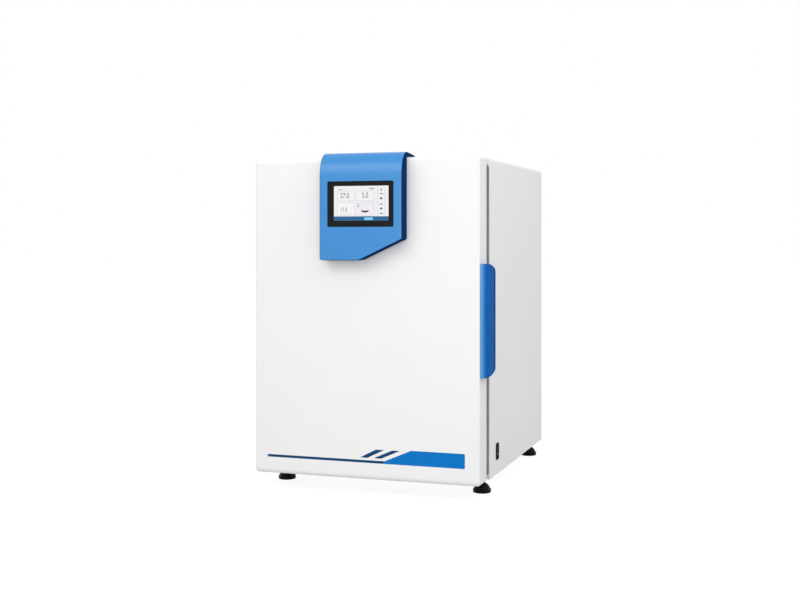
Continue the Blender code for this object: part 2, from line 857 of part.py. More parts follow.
def make_duct():
    """Cover of the air duct on the chamber's back wall, with the fan's inlet and the outlet slots."""
    half = DUCT_WIDTH / 2
    bottom = DUCT_BOTTOM
    back = CHAMBER_BACK - CLEARANCE
    front_edge = 0.003

    def outline(inset):
        return rectangle(MID - half + inset, MID + half - inset, bottom + inset, DUCT_TOP - inset, DUCT_RADIUS)

    duct = solid(
        "air_duct",
        loft("Y", [
            (outline(front_edge), DUCT_FRONT),
            (outline(0.0), DUCT_FRONT + front_edge),
            (outline(0.0), back),
            (outline(DUCT_WALL), back),
            (outline(DUCT_WALL), DUCT_FRONT + front_edge),
            (outline(front_edge + DUCT_WALL), DUCT_FRONT + DUCT_WALL),
        ]),
        stainless(),
    )
    slots = []
    for row in range(3):
        for column in (-1, 0, 1):
            x = MID + column * DUCT_WIDTH * 0.28
            z = bottom + OUTLET_RISE + row * OUTLET_PITCH
            slots.append(block(x - OUTLET_WIDTH / 2, x + OUTLET_WIDTH / 2, DUCT_FRONT - 0.01, DUCT_FRONT + 0.01,
                               z, z + OUTLET_HEIGHT))
    eye = [(INLET_RADIUS, DUCT_FRONT - 0.01), (INLET_RADIUS, DUCT_FRONT + 0.01)]
    cut(duct, turned("Y", MID, FAN_HEIGHT, eye, FINE_STEPS), merged(slots))


def blade_outline(turn):
    """Swept blade of the impeller, seen along its shaft."""
    inner = FAN_EYE_RADIUS - 0.010
    outer = FAN_RADIUS - 0.001
    steps = 3
    faces = []
    for offset in (-0.5, 0.5):
        side = []
        for step in range(steps + 1):
            share = step / steps
            radius = inner + (outer - inner) * share
            angle = turn - math.radians(FAN_SWEEP) * share ** 1.4 + offset * FAN_BLADE_THICKNESS / radius
            side.append((MID + radius * math.cos(angle), FAN_HEIGHT + radius * math.sin(angle)))
        faces.append(side)
    return faces[0] + faces[1][::-1]


def make_fan():
    """Centrifugal impeller in the duct, turned by a motor behind the insulation."""
    back = CHAMBER_BACK - CLEARANCE - FAN_FLOOR_SPACE
    front = back - FAN_DEPTH
    hub = SHAFT_RADIUS + 0.005
    shaft_end = FOAM_END + 0.020
    impeller = solid(
        "fan_impeller",
        turned("Y", MID, FAN_HEIGHT, [
            (hub, front + 0.006),
            (hub, back - FAN_PLATE),
            (FAN_RADIUS, back - FAN_PLATE),
            (FAN_RADIUS, back),
            (SHAFT_RADIUS, back),
            (SHAFT_RADIUS, shaft_end),
        ], FINE_STEPS),
        grey_plastic(),
    )
    overlap = 0.0005
    blades = [
        prism("Y", blade_outline(2 * math.pi * k / FAN_BLADES), front + FAN_PLATE - overlap,
              back - FAN_PLATE + overlap)
        for k in range(FAN_BLADES)
    ]
    shroud = turned("Y", MID, FAN_HEIGHT, [
        (FAN_EYE_RADIUS, front),
        (FAN_RADIUS, front + 0.0006),
        (FAN_RADIUS, front + FAN_PLATE + 0.0002),
        (FAN_EYE_RADIUS, front + FAN_PLATE),
    ], FINE_STEPS, ring=True)
    join(impeller, merged(blades), shroud)
    turn_about(impeller, (MID, back, FAN_HEIGHT))
    flange = FOAM_END + CLEARANCE
    bore = SHAFT_RADIUS + PIN_RUNNING
    solid(
        "fan_motor",
        turned("Y", MID, FAN_HEIGHT, [
            (bore, flange),
            (MOTOR_RADIUS + 0.006, flange),
            (MOTOR_RADIUS + 0.006, flange + 0.004),
            (MOTOR_RADIUS, flange + 0.004),
            (MOTOR_RADIUS, flange + MOTOR_DEPTH - 0.004),
            (MOTOR_RADIUS - 0.004, flange + MOTOR_DEPTH),
            (bore, flange + MOTOR_DEPTH),
        ], ring=True),
        plated_steel(),
    )


def make_filter():
    """Pleated air filter at the duct's inlet: a ring of pleats between two caps."""
    back = DUCT_FRONT - CLEARANCE
    front = back - FILTER_DEPTH
    points = 2 * FILTER_PLEATS
    pleats = []
    for k in range(points):
        radius = FILTER_RADIUS - 0.003 - FILTER_PLEAT_DEPTH * (k % 2)
        turn = 2 * math.pi * k / points
        pleats.append((MID + radius * math.cos(turn), FAN_HEIGHT + radius * math.sin(turn)))
    core = circle(MID, FAN_HEIGHT, INLET_RADIUS + 0.002, points)
    overlap = 0.001
    low = front + FILTER_CAP - overlap
    high = back - FILTER_CAP + overlap
    cartridge = solid(
        "air_filter",
        turned("Y", MID, FAN_HEIGHT, [
            (FILTER_RADIUS - 0.0015, front),
            (FILTER_RADIUS, front + 0.0015),
            (FILTER_RADIUS, front + FILTER_CAP),
        ], FINE_STEPS),
        filter_paper(),
    )
    medium = loft("Y", [(pleats, low), (pleats, high), (core, high), (core, low)], ring=True)
    collar = turned("Y", MID, FAN_HEIGHT, [
        (INLET_RADIUS, back - FILTER_CAP),
        (FILTER_RADIUS, back - FILTER_CAP),
        (FILTER_RADIUS, back),
        (INLET_RADIUS, back),
    ], FINE_STEPS, ring=True)
    join(cartridge, medium, collar)


def make_sensors():
    """Gas sensor and temperature probe, on the chamber's back wall beside the duct."""
    wall = CHAMBER_BACK - CLEARANCE
    solid(
        "gas_sensor",
        turned("Y", CHAMBER_LEFT + SENSOR_INSET, FAN_HEIGHT, [
            (SENSOR_RADIUS + 0.006, wall),
            (SENSOR_RADIUS + 0.006, wall - 0.004),
            (SENSOR_RADIUS, wall - 0.006),
            (SENSOR_RADIUS, wall - SENSOR_REACH * 0.62),
            (SENSOR_RADIUS + 0.0015, wall - SENSOR_REACH * 0.66),
            (SENSOR_RADIUS + 0.0015, wall - SENSOR_REACH + 0.003),
            (SENSOR_RADIUS - 0.002, wall - SENSOR_REACH),
        ]),
        silicone(),
    )
    solid(
        "temperature_probe",
        turned("Y", CHAMBER_RIGHT - SENSOR_INSET, FAN_HEIGHT + 0.040, [
            (PROBE_RADIUS * 3.2, wall),
            (PROBE_RADIUS * 3.2, wall - 0.007),
            (PROBE_RADIUS * 1.6, wall - 0.009),
            (PROBE_RADIUS, wall - 0.010),
            (PROBE_RADIUS, wall - PROBE_REACH + PROBE_RADIUS),
            (PROBE_RADIUS * 0.5, wall - PROBE_REACH),
        ], SMALL_STEPS),
        plated_steel(),
    )


def make_power_module():
    """Closed power module on the inside of the rear panel."""
    back = REAR_PANEL_FRONT - CLEARANCE
    z = BASE + POWER_RISE
    solid(
        "power_module",
        block(MID - POWER_WIDTH / 2, MID + POWER_WIDTH / 2, back - POWER_DEPTH, back, z, z + POWER_HEIGHT, 0.004),
        plated_steel(),
    )


def shelf_height(number):
    return CHAMBER_FLOOR + SHELF_FIRST_RISE + number * SHELF_PITCH


def shelf_span():
    front = FACE + SHELF_FRONT_SPACE
    return front, front + SHELF_DEPTH


def make_racks():
    """Rack on each side wall: two posts with windows, and a channel runner through them for each shelf."""
    front, back = shelf_span()
    low = CHAMBER_FLOOR + RACK_FLOOR_SPACE
    high = CHAMBER_CEILING - RACK_TOP_SPACE
    for side, name in ((-1, "left"), (1, "right")):
        wall = MID + side * (CHAMBER_WIDTH / 2 - CLEARANCE)

        def across(depth):
            return wall - side * depth

        runners = []
        windows = []
        post_depth = RACK_DEPTH * 0.6
        seat = RUNNER_WALL / 5
        window = sorted((across(RUNNER_WALL / 2), across(RACK_DEPTH)))
        for number in range(SHELF_COUNT):
            z = shelf_height(number) - CLEARANCE
            runner = [
                (across(seat), z - RUNNER_WALL),
                (across(RACK_DEPTH), z - RUNNER_WALL),
                (across(RACK_DEPTH), z),
                (across(RUNNER_WALL), z),
                (across(RUNNER_WALL), z + RUNNER_HEIGHT - 2 * RUNNER_WALL),
                (across(RACK_DEPTH), z + RUNNER_HEIGHT - 2 * RUNNER_WALL),
                (across(RACK_DEPTH), z + RUNNER_HEIGHT - RUNNER_WALL),
                (across(seat), z + RUNNER_HEIGHT - RUNNER_WALL),
            ]
            runners.append(prism("Y", runner, front + 0.002, back))
            windows.append(block(
                *window, front - 0.01, back + 0.01, z - RUNNER_WALL / 2, z + RUNNER_HEIGHT - 1.5 * RUNNER_WALL))
        posts = []
        for y in (front + 0.045, back - 0.045 - RACK_POST_WIDTH):
            post = [
                (across(0.0), y),
                (across(0.0), y + RACK_POST_WIDTH),
                (across(post_depth), y + RACK_POST_WIDTH),
                (across(post_depth), y + RACK_POST_WIDTH - RUNNER_WALL),
                (across(RUNNER_WALL), y + RACK_POST_WIDTH - RUNNER_WALL),
                (across(RUNNER_WALL), y + RUNNER_WALL),
                (across(post_depth), y + RUNNER_WALL),
                (across(post_depth), y),
            ]
            posts.append(prism("Z", post, low, high))
        rack = solid(f"shelf_rack_{name}", merged(posts), stainless())
        cut(rack, merged(windows))
        join(rack, merged(runners))


def make_shelves():
    """Perforated shelves with their front and back edges turned down; each slides in its runners."""
    front, back = shelf_span()
    half = CHAMBER_WIDTH / 2 - CLEARANCE - RUNNER_WALL - 3 * CLEARANCE
    tray_half = CHAMBER_WIDTH / 2 - CLEARANCE - RACK_DEPTH - 0.003
    names = ("lower", "middle", "upper")
    margin_x = 0.030
    margin_y = 0.028
    slot_width = (2 * tray_half - 2 * margin_x + SLOT_BRIDGE) / SLOT_COLUMNS - SLOT_BRIDGE
    slot_depth = (SHELF_DEPTH - 2 * margin_y + SLOT_BRIDGE) / SLOT_ROWS - SLOT_BRIDGE
    for number in range(SHELF_COUNT):
        z = shelf_height(number)
        top = z + SHELF_THICKNESS
        name = names[number] if number < len(names) else f"extra_{number}"
        shelf = solid(
            f"shelf_{name}",
            prism("Z", rectangle(MID - half, MID + half, front, back, 0.006, 2), z, top),
            stainless(),
        )
        profile = [
            (front + 0.001, z - SHELF_FLANGE),
            (front + 0.001 + SHELF_THICKNESS, z - SHELF_FLANGE),
            (front + 0.001 + SHELF_THICKNESS, z + SHELF_THICKNESS / 2),
            (front + 0.001, z + SHELF_THICKNESS / 2),
        ]
        mirrored = [(front + back - y, height) for y, height in profile]
        join(shelf, merged([
            prism("X", outline, MID - tray_half, MID + tray_half) for outline in (profile, mirrored)
        ]))
        slots = []
        for column in range(SLOT_COLUMNS):
            x = MID - tray_half + margin_x + column * (slot_width + SLOT_BRIDGE)
            for row in range(SLOT_ROWS):
                y = front + margin_y + row * (slot_depth + SLOT_BRIDGE)
                slots.append(block(x, x + slot_width, y, y + slot_depth, z - 0.005, top + 0.005, axis="Z"))
        cut(shelf, merged(slots))
        turn_about(shelf, (MID, front, z))


def make_pan():
    """Deep humidity pan on the chamber's floor."""
    front = FACE + PAN_FRONT_SPACE
    back = CHAMBER_BACK - PAN_BACK_SPACE
    bottom = CHAMBER_FLOOR + CLEARANCE
    top = bottom + PAN_HEIGHT
    taper = 0.006

    def outline(inset, radius):
        return rectangle(MID - PAN_WIDTH / 2 + inset, MID + PAN_WIDTH / 2 - inset,
                         front + inset, back - inset, radius)

    foot = 0.004
    pan = solid(
        "humidity_pan",
        loft("Z", [
            (outline(PAN_RIM + taper + foot, PAN_RADIUS - foot), bottom),
            (outline(PAN_RIM + taper, PAN_RADIUS), bottom + foot),
            (outline(PAN_RIM, PAN_RADIUS), top - PAN_WALL),
            (outline(0.0, PAN_RADIUS + PAN_RIM), top - PAN_WALL),
            (outline(0.0, PAN_RADIUS + PAN_RIM), top),
            (outline(PAN_RIM + PAN_WALL, PAN_RADIUS - PAN_WALL), top),
            (outline(PAN_RIM + taper + PAN_WALL, PAN_RADIUS - PAN_WALL), bottom + foot + PAN_WALL),
            (outline(PAN_RIM + taper + foot + PAN_WALL, PAN_RADIUS - foot - PAN_WALL), bottom + PAN_WALL),
        ]),
        stainless(),
    )
    turn_about(pan, (MID, front, bottom))


def hinge_leaf(name, place, height, length, radii, plate, web, thirds, material):
    """One leaf of a hinge: a plate, and a web and a bored knuckle at each of its thirds of the length."""
    x, y = place
    knuckle, bore = radii
    low = height - length / 2
    leaf = solid(name, block(*plate, low, low + length), material)
    slack = 0.0002
    spans = [(low + length * third / 3 + slack, low + length * (third + 1) / 3 - slack) for third in thirds]
    join(
        leaf,
        merged([block(*web, start, end) for start, end in spans]),
        merged([turned("Z", x, y, [(knuckle, start), (knuckle, end)], SMALL_STEPS) for start, end in spans]),
    )
    cut(leaf, turned("Z", x, y, [(bore, height - length), (bore, height + length)], SMALL_STEPS))
    return leaf


def hinge_pin(name, place, height, length, pin, head, material):
    """Headed pin through the knuckles."""
    x, y = place
    top = height + length / 2 + CLEARANCE
    solid(
        name,
        turned("Z", x, y, [
            (pin, height - length / 2 - 0.0015),
            (pin, top),
            (head, top),
            (head, top + 0.0015),
            (head * 0.7, top + 0.0025),
        ], SMALL_STEPS),
        material,
    )


def outer_hinge_axis():
    return LEFT + HINGE_INSET, DOOR_BACK + DOOR_GAP / 2


def inner_hinge_axis():
    return (CHAMBER_LEFT - GLASS_LAP - INNER_HINGE_OFFSET,
            FACE - GLASS_SEAL_DEPTH - 2 * CLEARANCE - GLASS_THICKNESS / 2)


def make_outer_hinges():
    """Butt hinges in the gap between cabinet and outer door, on the left."""
    x, y = place = outer_hinge_axis()
    left = LEFT + LEAF_EDGE
    right = LEFT + SEAL_HINGE_INSET - 0.0010
    web = 0.003
    fixed_back = FACE - CLEARANCE
    fixed_front = fixed_back - LEAF_THICKNESS
    swung_front = DOOR_BACK + CLEARANCE
    swung_back = swung_front + LEAF_THICKNESS
    bore = PIN_RADIUS + PIN_RUNNING
    for name, height in (("lower", BASE + HINGE_END_DISTANCE), ("upper", TOP - HINGE_END_DISTANCE)):
        hinge_leaf(
            f"hinge_cabinet_leaf_{name}", place, height, HINGE_LENGTH, (KNUCKLE_RADIUS, bore),
            (left, right, fixed_front, fixed_back), (x - web, x + web, y, fixed_front + 0.001),
            (0, 2), plated_steel())
        leaf = hinge_leaf(
            f"hinge_door_leaf_{name}", place, height, HINGE_LENGTH, (KNUCKLE_RADIUS, bore + PIN_RUNNING),
            (left, right, swung_front, swung_back), (x - web, x + web, swung_back - 0.001, y),
            (1,), plated_steel())
        turn_about(leaf, (*place, height))
        hinge_pin(f"hinge_pin_{name}", place, height, HINGE_LENGTH, PIN_RADIUS, KNUCKLE_RADIUS, plated_steel())


def make_inner_hinges():
    """Small hinges on the chamber's flange, clamped on the edge of the glass."""
    x, y = place = inner_hinge_axis()
    web = 0.002
    reach = INNER_KNUCKLE_RADIUS + CLEARANCE
    fixed_back = FACE - CLEARANCE
    fixed_front = fixed_back - INNER_LEAF_THICKNESS
    swung_back = y - GLASS_THICKNESS / 2 - CLEARANCE
    swung_front = swung_back - INNER_LEAF_THICKNESS
    clamp_right = CHAMBER_LEFT - GLASS_LAP + INNER_CLAMP_WIDTH
    heights = (("lower", CHAMBER_FLOOR + INNER_HINGE_END_DISTANCE),
               ("upper", CHAMBER_CEILING - INNER_HINGE_END_DISTANCE))
    for name, height in heights:
        bracket = hinge_leaf(
            f"inner_hinge_bracket_{name}", place, height, INNER_HINGE_LENGTH,
            (INNER_KNUCKLE_RADIUS, INNER_PIN_RADIUS / 2),
            (x - reach, x + reach, fixed_front, fixed_back), (x - web, x + web, y, fixed_front + 0.001),
            (0, 2), plated_steel())
        end = INNER_HINGE_LENGTH / 2 - 0.001
        pin = [(INNER_PIN_RADIUS, height - end), (INNER_PIN_RADIUS, height + end)]
        join(bracket, turned("Z", x, y, pin, SMALL_STEPS))
        clamp = hinge_leaf(
            f"inner_hinge_clamp_{name}", place, height, INNER_HINGE_LENGTH,
            (INNER_KNUCKLE_RADIUS, INNER_PIN_RADIUS + 2 * PIN_RUNNING),
            (x + reach, clamp_right, swung_front, swung_back), (x, x + reach + 0.001, swung_front, swung_back),
            (1,), plated_steel())
        turn_about(clamp, (x, y, height))


def make_inner_door():
    """Glass door with its silicone seal, hung on the left of the chamber's mouth."""
    x, y = inner_hinge_axis()
    height = (CHAMBER_FLOOR + CHAMBER_CEILING) / 2
    back = FACE - GLASS_SEAL_DEPTH - 2 * CLEARANCE
    front = back - GLASS_THICKNESS
    edge = 0.0008
    glass = solid(
        "inner_door_glass",
        loft("Y", [
            (chamber_outline(GLASS_LAP - edge, GLASS_RADIUS), front),
            (chamber_outline(GLASS_LAP, GLASS_RADIUS), front + edge),
            (chamber_outline(GLASS_LAP, GLASS_RADIUS), back - edge),
            (chamber_outline(GLASS_LAP - edge, GLASS_RADIUS), back),
        ]),
        clear_glass(),
    )
    hole = [(LATCH_HOLE_RADIUS, front - 0.01), (LATCH_HOLE_RADIUS, back + 0.003)]
    cut(glass, turned("Y", CHAMBER_RIGHT - LATCH_INSET, height, hole))
    turn_about(glass, (x, y, height))
    outer = GLASS_LAP - 0.001
    inner = outer - GLASS_SEAL_WIDTH
    bulge = 0.002
    seal_back = FACE - CLEARANCE
    seal_front = seal_back - GLASS_SEAL_DEPTH
    seal = solid(
        "inner_door_seal",
        loft("Y", [
            (chamber_outline(outer, GLASS_RADIUS), seal_front),
            (chamber_outline(outer, GLASS_RADIUS), seal_front + GLASS_SEAL_DEPTH / 2),
            (chamber_outline(outer - bulge, GLASS_RADIUS), seal_back),
            (chamber_outline(inner + bulge, GLASS_RADIUS), seal_back),
            (chamber_outline(inner, GLASS_RADIUS), seal_front + GLASS_SEAL_DEPTH / 2),
            (chamber_outline(inner, GLASS_RADIUS), seal_front),
        ], ring=True),
        silicone(),
    )
    turn_about(seal, (x, y, height))


def make_latch():
    """Lever that turns on the glass, and the keeper on the front frame; it is drawn upright, released."""
    x = CHAMBER_RIGHT - LATCH_INSET
    z = (CHAMBER_FLOOR + CHAMBER_CEILING) / 2
    glass_back = FACE - GLASS_SEAL_DEPTH - 2 * CLEARANCE
    glass_front = glass_back - GLASS_THICKNESS
    lever_back = FACE - FRAME_PROUD - 2 * CLEARANCE
    lever_front = lever_back - LATCH_LEVER_THICKNESS
    boss_front = lever_front - LATCH_GRIP_HEIGHT
    washer_back = glass_back + CLEARANCE + 0.0015
    latch = solid(
        "inner_latch",
        turned("Y", x, z, [
            (LATCH_BOSS_RADIUS - 0.0015, boss_front),
            (LATCH_BOSS_RADIUS, boss_front + 0.0015),
            (LATCH_BOSS_RADIUS, glass_front - CLEARANCE),
            (LATCH_SHANK_RADIUS, glass_front - CLEARANCE),
            (LATCH_SHANK_RADIUS, glass_back + CLEARANCE),
            (LATCH_SHANK_RADIUS + 0.003, glass_back + CLEARANCE),
            (LATCH_SHANK_RADIUS + 0.003, washer_back),
            (LATCH_SHANK_RADIUS, washer_back + 0.0010),
        ], SMALL_STEPS),
        black_plastic(),
    )
    half = LATCH_LEVER_WIDTH / 2
    tip = z + LATCH_REACH - half
    lever = [(x - half, z - half), (x + half, z - half)]
    lever += arc(x, tip, half * 0.8, 0, 180, 6)
    wing = rectangle(x - half * 0.42, x + half * 0.42, z, tip - half, half * 0.4, 2)
    join(latch, prism("Y", lever, lever_front, lever_back),
         prism("Y", wing, boss_front + 0.0012, lever_front + 0.001))
    turn_about(latch, (x, glass_front, z))
    reach = x + LATCH_REACH + 2 * CLEARANCE
    base = FACE - FRAME_PROUD - CLEARANCE
    lip_back = lever_front - 2 * CLEARANCE
    keeper = [
        (reach, base),
        (reach + KEEPER_WALL + 0.004, base),
        (reach + KEEPER_WALL + 0.004, base - KEEPER_WALL * 0.6),
        (reach + KEEPER_WALL, base - KEEPER_WALL * 0.6),
        (reach + KEEPER_WALL, lip_back - KEEPER_WALL),
        (reach - 0.008, lip_back - KEEPER_WALL),
        (reach - 0.008, lip_back),
        (reach, lip_back),
    ]
    solid("latch_keeper", prism("Z", keeper, z - KEEPER_HEIGHT / 2, z + KEEPER_HEIGHT / 2), black_plastic())


def make_door_skin():
    """Painted shell of the outer door, rounded to the front and folded in at the back."""
    widest = max(DOOR_SIDE_RADIUS, DOOR_TOP_RADIUS, DOOR_BOTTOM_RADIUS)
    shares = tuple(radius / widest for radius in (DOOR_SIDE_RADIUS, DOOR_TOP_RADIUS, DOOR_BOTTOM_RADIUS))
    sections = []
    for step in range(EDGE_STEPS + 1):
        turn = math.radians(90 * step / EDGE_STEPS)
        inset = widest * (1 - math.sin(turn))
        corner = DOOR_CORNER_RADIUS - DOOR_SIDE_RADIUS * (1 - math.sin(turn))
        sections.append((body_outline(inset, corner, shares), DOOR_FRONT + DOOR_SIDE_RADIUS * (1 - math.cos(turn))))
    edge = 0.0012
    corner = DOOR_CORNER_RADIUS
    sections += [
        (body_outline(0.0, corner), DOOR_BACK - edge),
        (body_outline(edge, corner), DOOR_BACK),
        (body_outline(DOOR_RETURN, corner), DOOR_BACK),
        (body_outline(DOOR_RETURN, corner), DOOR_BACK - SHEET),
        (body_outline(SHEET, corner - SHEET), DOOR_BACK - SHEET),
        (body_outline(SHEET, corner - SHEET), DOOR_FRONT + DOOR_SIDE_RADIUS),
        (body_outline(widest * 0.8, corner - SHEET, shares), DOOR_FRONT + SHEET),
    ]
    skin = solid("door_skin", loft("Y", sections), white_paint())
    turn_about(skin, (*outer_hinge_axis(), (BASE + TOP) / 2))


def make_door_inside():
    """Foam, dished inner panel and seal of the outer door."""
    axis = (*outer_hinge_axis(), (BASE + TOP) / 2)
    liner_back = DOOR_BACK + CLEARANCE + CHAMBER_WALL
    floor = DOOR_BACK - LINER_RECESS

    def flange(inset):
        return rectangle(LEFT + SEAL_HINGE_INSET + inset, RIGHT - LINER_INSET - inset,
                         BASE + LINER_INSET + inset, TOP - LINER_INSET - inset, DOOR_CORNER_RADIUS)

    def field(inset):
        return body_outline(LINER_FIELD_INSET + inset, 0.016)

    slope = 0.006
    liner = solid(
        "door_liner",
        loft("Y", [
            (field(slope), floor),
            (field(0.0), liner_back),
            (flange(0.0), liner_back),
            (flange(0.0), DOOR_BACK + CLEARANCE),
            (field(-CHAMBER_WALL), DOOR_BACK + CLEARANCE),
            (field(slope - CHAMBER_WALL), floor - CHAMBER_WALL),
        ]),
        stainless(),
    )
    turn_about(liner, axis)
    front = DOOR_FRONT + SHEET + CLEARANCE
    core = solid(
        "door_foam",
        prism("Y", body_outline(DOOR_BOTTOM_RADIUS + SHEET, 0.004), front, floor - CHAMBER_WALL - CLEARANCE),
        foam(),
    )
    turn_about(core, axis)
    seal_front = liner_back + CLEARANCE
    seal_back = FACE - FRAME_PROUD - CLEARANCE
    waist = (seal_front + seal_back) / 2
    pinch = 0.0025
    seal = solid(
        "door_seal",
        loft("Y", [
            (seal_outline(0.001, SEAL_RADIUS), seal_front),
            (seal_outline(0.001, SEAL_RADIUS), waist - 0.002),
            (seal_outline(0.001 + pinch, SEAL_RADIUS), waist),
            (seal_outline(0.001, SEAL_RADIUS), waist + 0.002),
            (seal_outline(0.001, SEAL_RADIUS), seal_back - 0.001),
            (seal_outline(0.002, SEAL_RADIUS), seal_back),
            (seal_outline(SEAL_WIDTH - 0.001, SEAL_RADIUS - 0.006), seal_back),
            (seal_outline(SEAL_WIDTH, SEAL_RADIUS - 0.006), seal_back - 0.001),
            (seal_outline(SEAL_WIDTH, SEAL_RADIUS - 0.006), seal_front),
        ], ring=True),
        dark_rubber(),
    )
    turn_about(seal, axis)


def grip_outline(inset, root):
    """Section of the grip seen from above: from the door's front edge round to its free lip."""
    x = RIGHT + CLEARANCE
    y = DOOR_FRONT
    tip = y + GRIP_LENGTH
    reach = RIGHT + GRIP_PROUD - inset
    shoulder = x + GRIP_PROUD * 0.62 - inset
    nose = GRIP_PROUD * 0.62
    points = [(x, root)]
    points.append((x, y + 0.0035 + inset))
    points += arc(shoulder - nose + inset, y + 0.0035 + nose + inset, nose - inset, -88, -4, 5)
    points += [(reach - 0.0008, tip - 0.010), (reach, tip - 0.003), (reach - 0.001, tip - inset)]
    return points, tip


def make_grip():
    """Moulded grip on the door's right edge: a curved plate with closed ends and a finger pocket behind."""
    bottom = GRIP_BOTTOM
    top = bottom + GRIP_HEIGHT
    outer, tip = grip_outline(0.0, DOOR_FRONT + GRIP_ROOT)
    outer += [(RIGHT + CLEARANCE, tip)]
    grip = solid("door_grip", prism("Z", outer, bottom, top), blue_plastic())
    low, high = bottom + 0.0005, top - 0.0005
    sweep = [
        (tip - GRIP_END_LENGTH * (1 - along), GRIP_END_HEIGHT * (1 - up))
        for along, up in arc(0.0, 0.0, 1.0, 90, 0, 6)
    ]
    profile = [(DOOR_FRONT - 0.01, low)]
    profile += [(y, low + height) for y, height in sweep]
    profile += [(y, high - height) for y, height in reversed(sweep)]
    profile += [(DOOR_FRONT - 0.01, high)]
    combine(grip, prism("X", profile, RIGHT - 0.01, RIGHT + 2 * GRIP_PROUD), "INTERSECT")
    pocket = [
        (RIGHT - 0.01, DOOR_FRONT + GRIP_ROOT),
        (RIGHT + GRIP_PROUD * 0.62 - GRIP_WALL, DOOR_FRONT + GRIP_ROOT),
        (RIGHT + GRIP_PROUD - GRIP_WALL - 0.0015, tip + 0.02),
        (RIGHT - 0.01, tip + 0.02),
    ]
    cut(grip, prism("Z", pocket, bottom + GRIP_WALL + 0.012, top - GRIP_WALL - 0.012))
    turn_about(grip, (*outer_hinge_axis(), (bottom + top) / 2))


def panel_front_outline(inset):
    """The control panel seen from the front: square at the left, cut at a slope at the lower right."""
    left = MID + PANEL_SHIFT - PANEL_WIDTH / 2 + inset
    right = MID + PANEL_SHIFT + PANEL_WIDTH / 2 - inset
    low = PANEL_BOTTOM + inset
    side = TOP - PANEL_SIDE_DROP + inset * 0.9
    start = MID + PANEL_SHIFT - PANEL_WIDTH / 2 + PANEL_CUT_START - inset * 0.3
    top = TOP + PANEL_CREST + 0.05
    radius = max(PANEL_CORNER - inset, 0.001)
    points = arc(left + radius, low + radius, radius, 180, 270)
    points += [(start - 0.006, low), (start + 0.006, low + 0.0015)]
    points += [(right, side), (right, top), (left, top)]
    return points


def make_panel():
    """Blue control panel housing: a shell that rolls over the top of the door, with its display."""
    front = DOOR_FRONT - PANEL_PROUD
    arc_y = front + PANEL_ARC
    crest = TOP + PANEL_CREST
    hook = DOOR_FRONT + PANEL_HOOK
    under = TOP + CLEARANCE
    end = hook - 0.004
    drop = PANEL_HOOK_DROP
    side = [(DOOR_FRONT - CLEARANCE, PANEL_BOTTOM - 0.01), (front, PANEL_BOTTOM - 0.01)]
    side += arc(arc_y, crest - PANEL_ARC, PANEL_ARC, 180, 90, 8)
    side += [(end, crest - drop), (hook - 0.001, crest - drop - 0.002), (hook, crest - drop - 0.0045)]
    side += [(hook - 0.001, under + 0.001), (end, under), (DOOR_FRONT - CLEARANCE, under)]
    left = MID + PANEL_SHIFT - PANEL_WIDTH / 2
    right = left + PANEL_WIDTH
    housing = solid("panel_housing", prism("X", side, left, right), blue_plastic())
    outline = panel_front_outline(0.0)
    combine(housing, prism("Y", outline, front - 0.02, hook + 0.02), "INTERSECT")
    bevel = housing.modifiers.new("softened_edges", "BEVEL")
    bevel.limit_method = "ANGLE"
    bevel.angle_limit = math.radians(50)
    bevel.width = 0.0022
    bevel.segments = 2
    hollow = panel_front_outline(PANEL_WALL)
    ceiling = crest - PANEL_ARC - 0.001
    hollow = [(x, min(z, ceiling)) for x, z in hollow]
    cut(housing, prism("Y", hollow, front + PANEL_WALL, DOOR_FRONT + 0.02))
    bezel = bezel_outline(CLEARANCE)
    cut(housing, prism("Y", bezel, front - 0.01, front + PANEL_WALL + 0.01))
    axis = (*outer_hinge_axis(), PANEL_BOTTOM)
    turn_about(housing, axis)
    make_display(front, axis)


def bezel_outline(margin, radius=0.004):
    x = MID + PANEL_SHIFT
    z = BEZEL_BOTTOM
    return rectangle(x - BEZEL_WIDTH / 2 - margin, x + BEZEL_WIDTH / 2 + margin,
                     z - margin, z + BEZEL_HEIGHT + margin, radius)


def screen_outline(margin, radius=0.0015):
    x = MID + PANEL_SHIFT + SCREEN_SHIFT
    z = BEZEL_BOTTOM + SCREEN_RISE
    return rectangle(x - SCREEN_WIDTH / 2 - margin, x + SCREEN_WIDTH / 2 + margin,
                     z - margin, z + SCREEN_HEIGHT + margin, radius)


def make_display(front, axis):
    """Black bezel in the panel's window, the touch screen in it and the control board behind."""
    face = front + CLEARANCE
    back = face + BEZEL_THICKNESS
    bezel = solid(
        "display_bezel",
        loft("Y", [
            (bezel_outline(0.0), back),
            (bezel_outline(0.0), face),
            (screen_outline(0.0), face),
            (screen_outline(0.0), back),
        ], ring=True),
        black_plastic(),
    )
    turn_about(bezel, axis)
    rim = 0.005
    module = 0.008
    screen = solid(
        "touch_screen",
        loft("Y", [
            (screen_outline(-CLEARANCE), face + SCREEN_RECESS),
            (screen_outline(-CLEARANCE), back + CLEARANCE),
            (screen_outline(rim), back + CLEARANCE),
            (screen_outline(rim), back + module),
        ]),
        screen_glass(),
    )
    turn_about(screen, axis)
    board_front = back + module + CLEARANCE
    board = solid(
        "control_board",
        prism("Y", screen_outline(rim), board_front, board_front + 0.0016),
        circuit_board(),
    )
    x = MID + PANEL_SHIFT
    z = BEZEL_BOTTOM + SCREEN_RISE
    parts = [
        block(x - 0.060, x - 0.030, board_front + 0.001, board_front + 0.009, z + 0.010, z + 0.024),
        block(x - 0.012, x + 0.012, board_front + 0.001, board_front + 0.004, z + 0.040, z + 0.064),
        block(x + 0.030, x + 0.062, board_front + 0.001, board_front + 0.011, z + 0.016, z + 0.030),
    ]
    join(board, merged(parts))
    turn_about(board, axis)


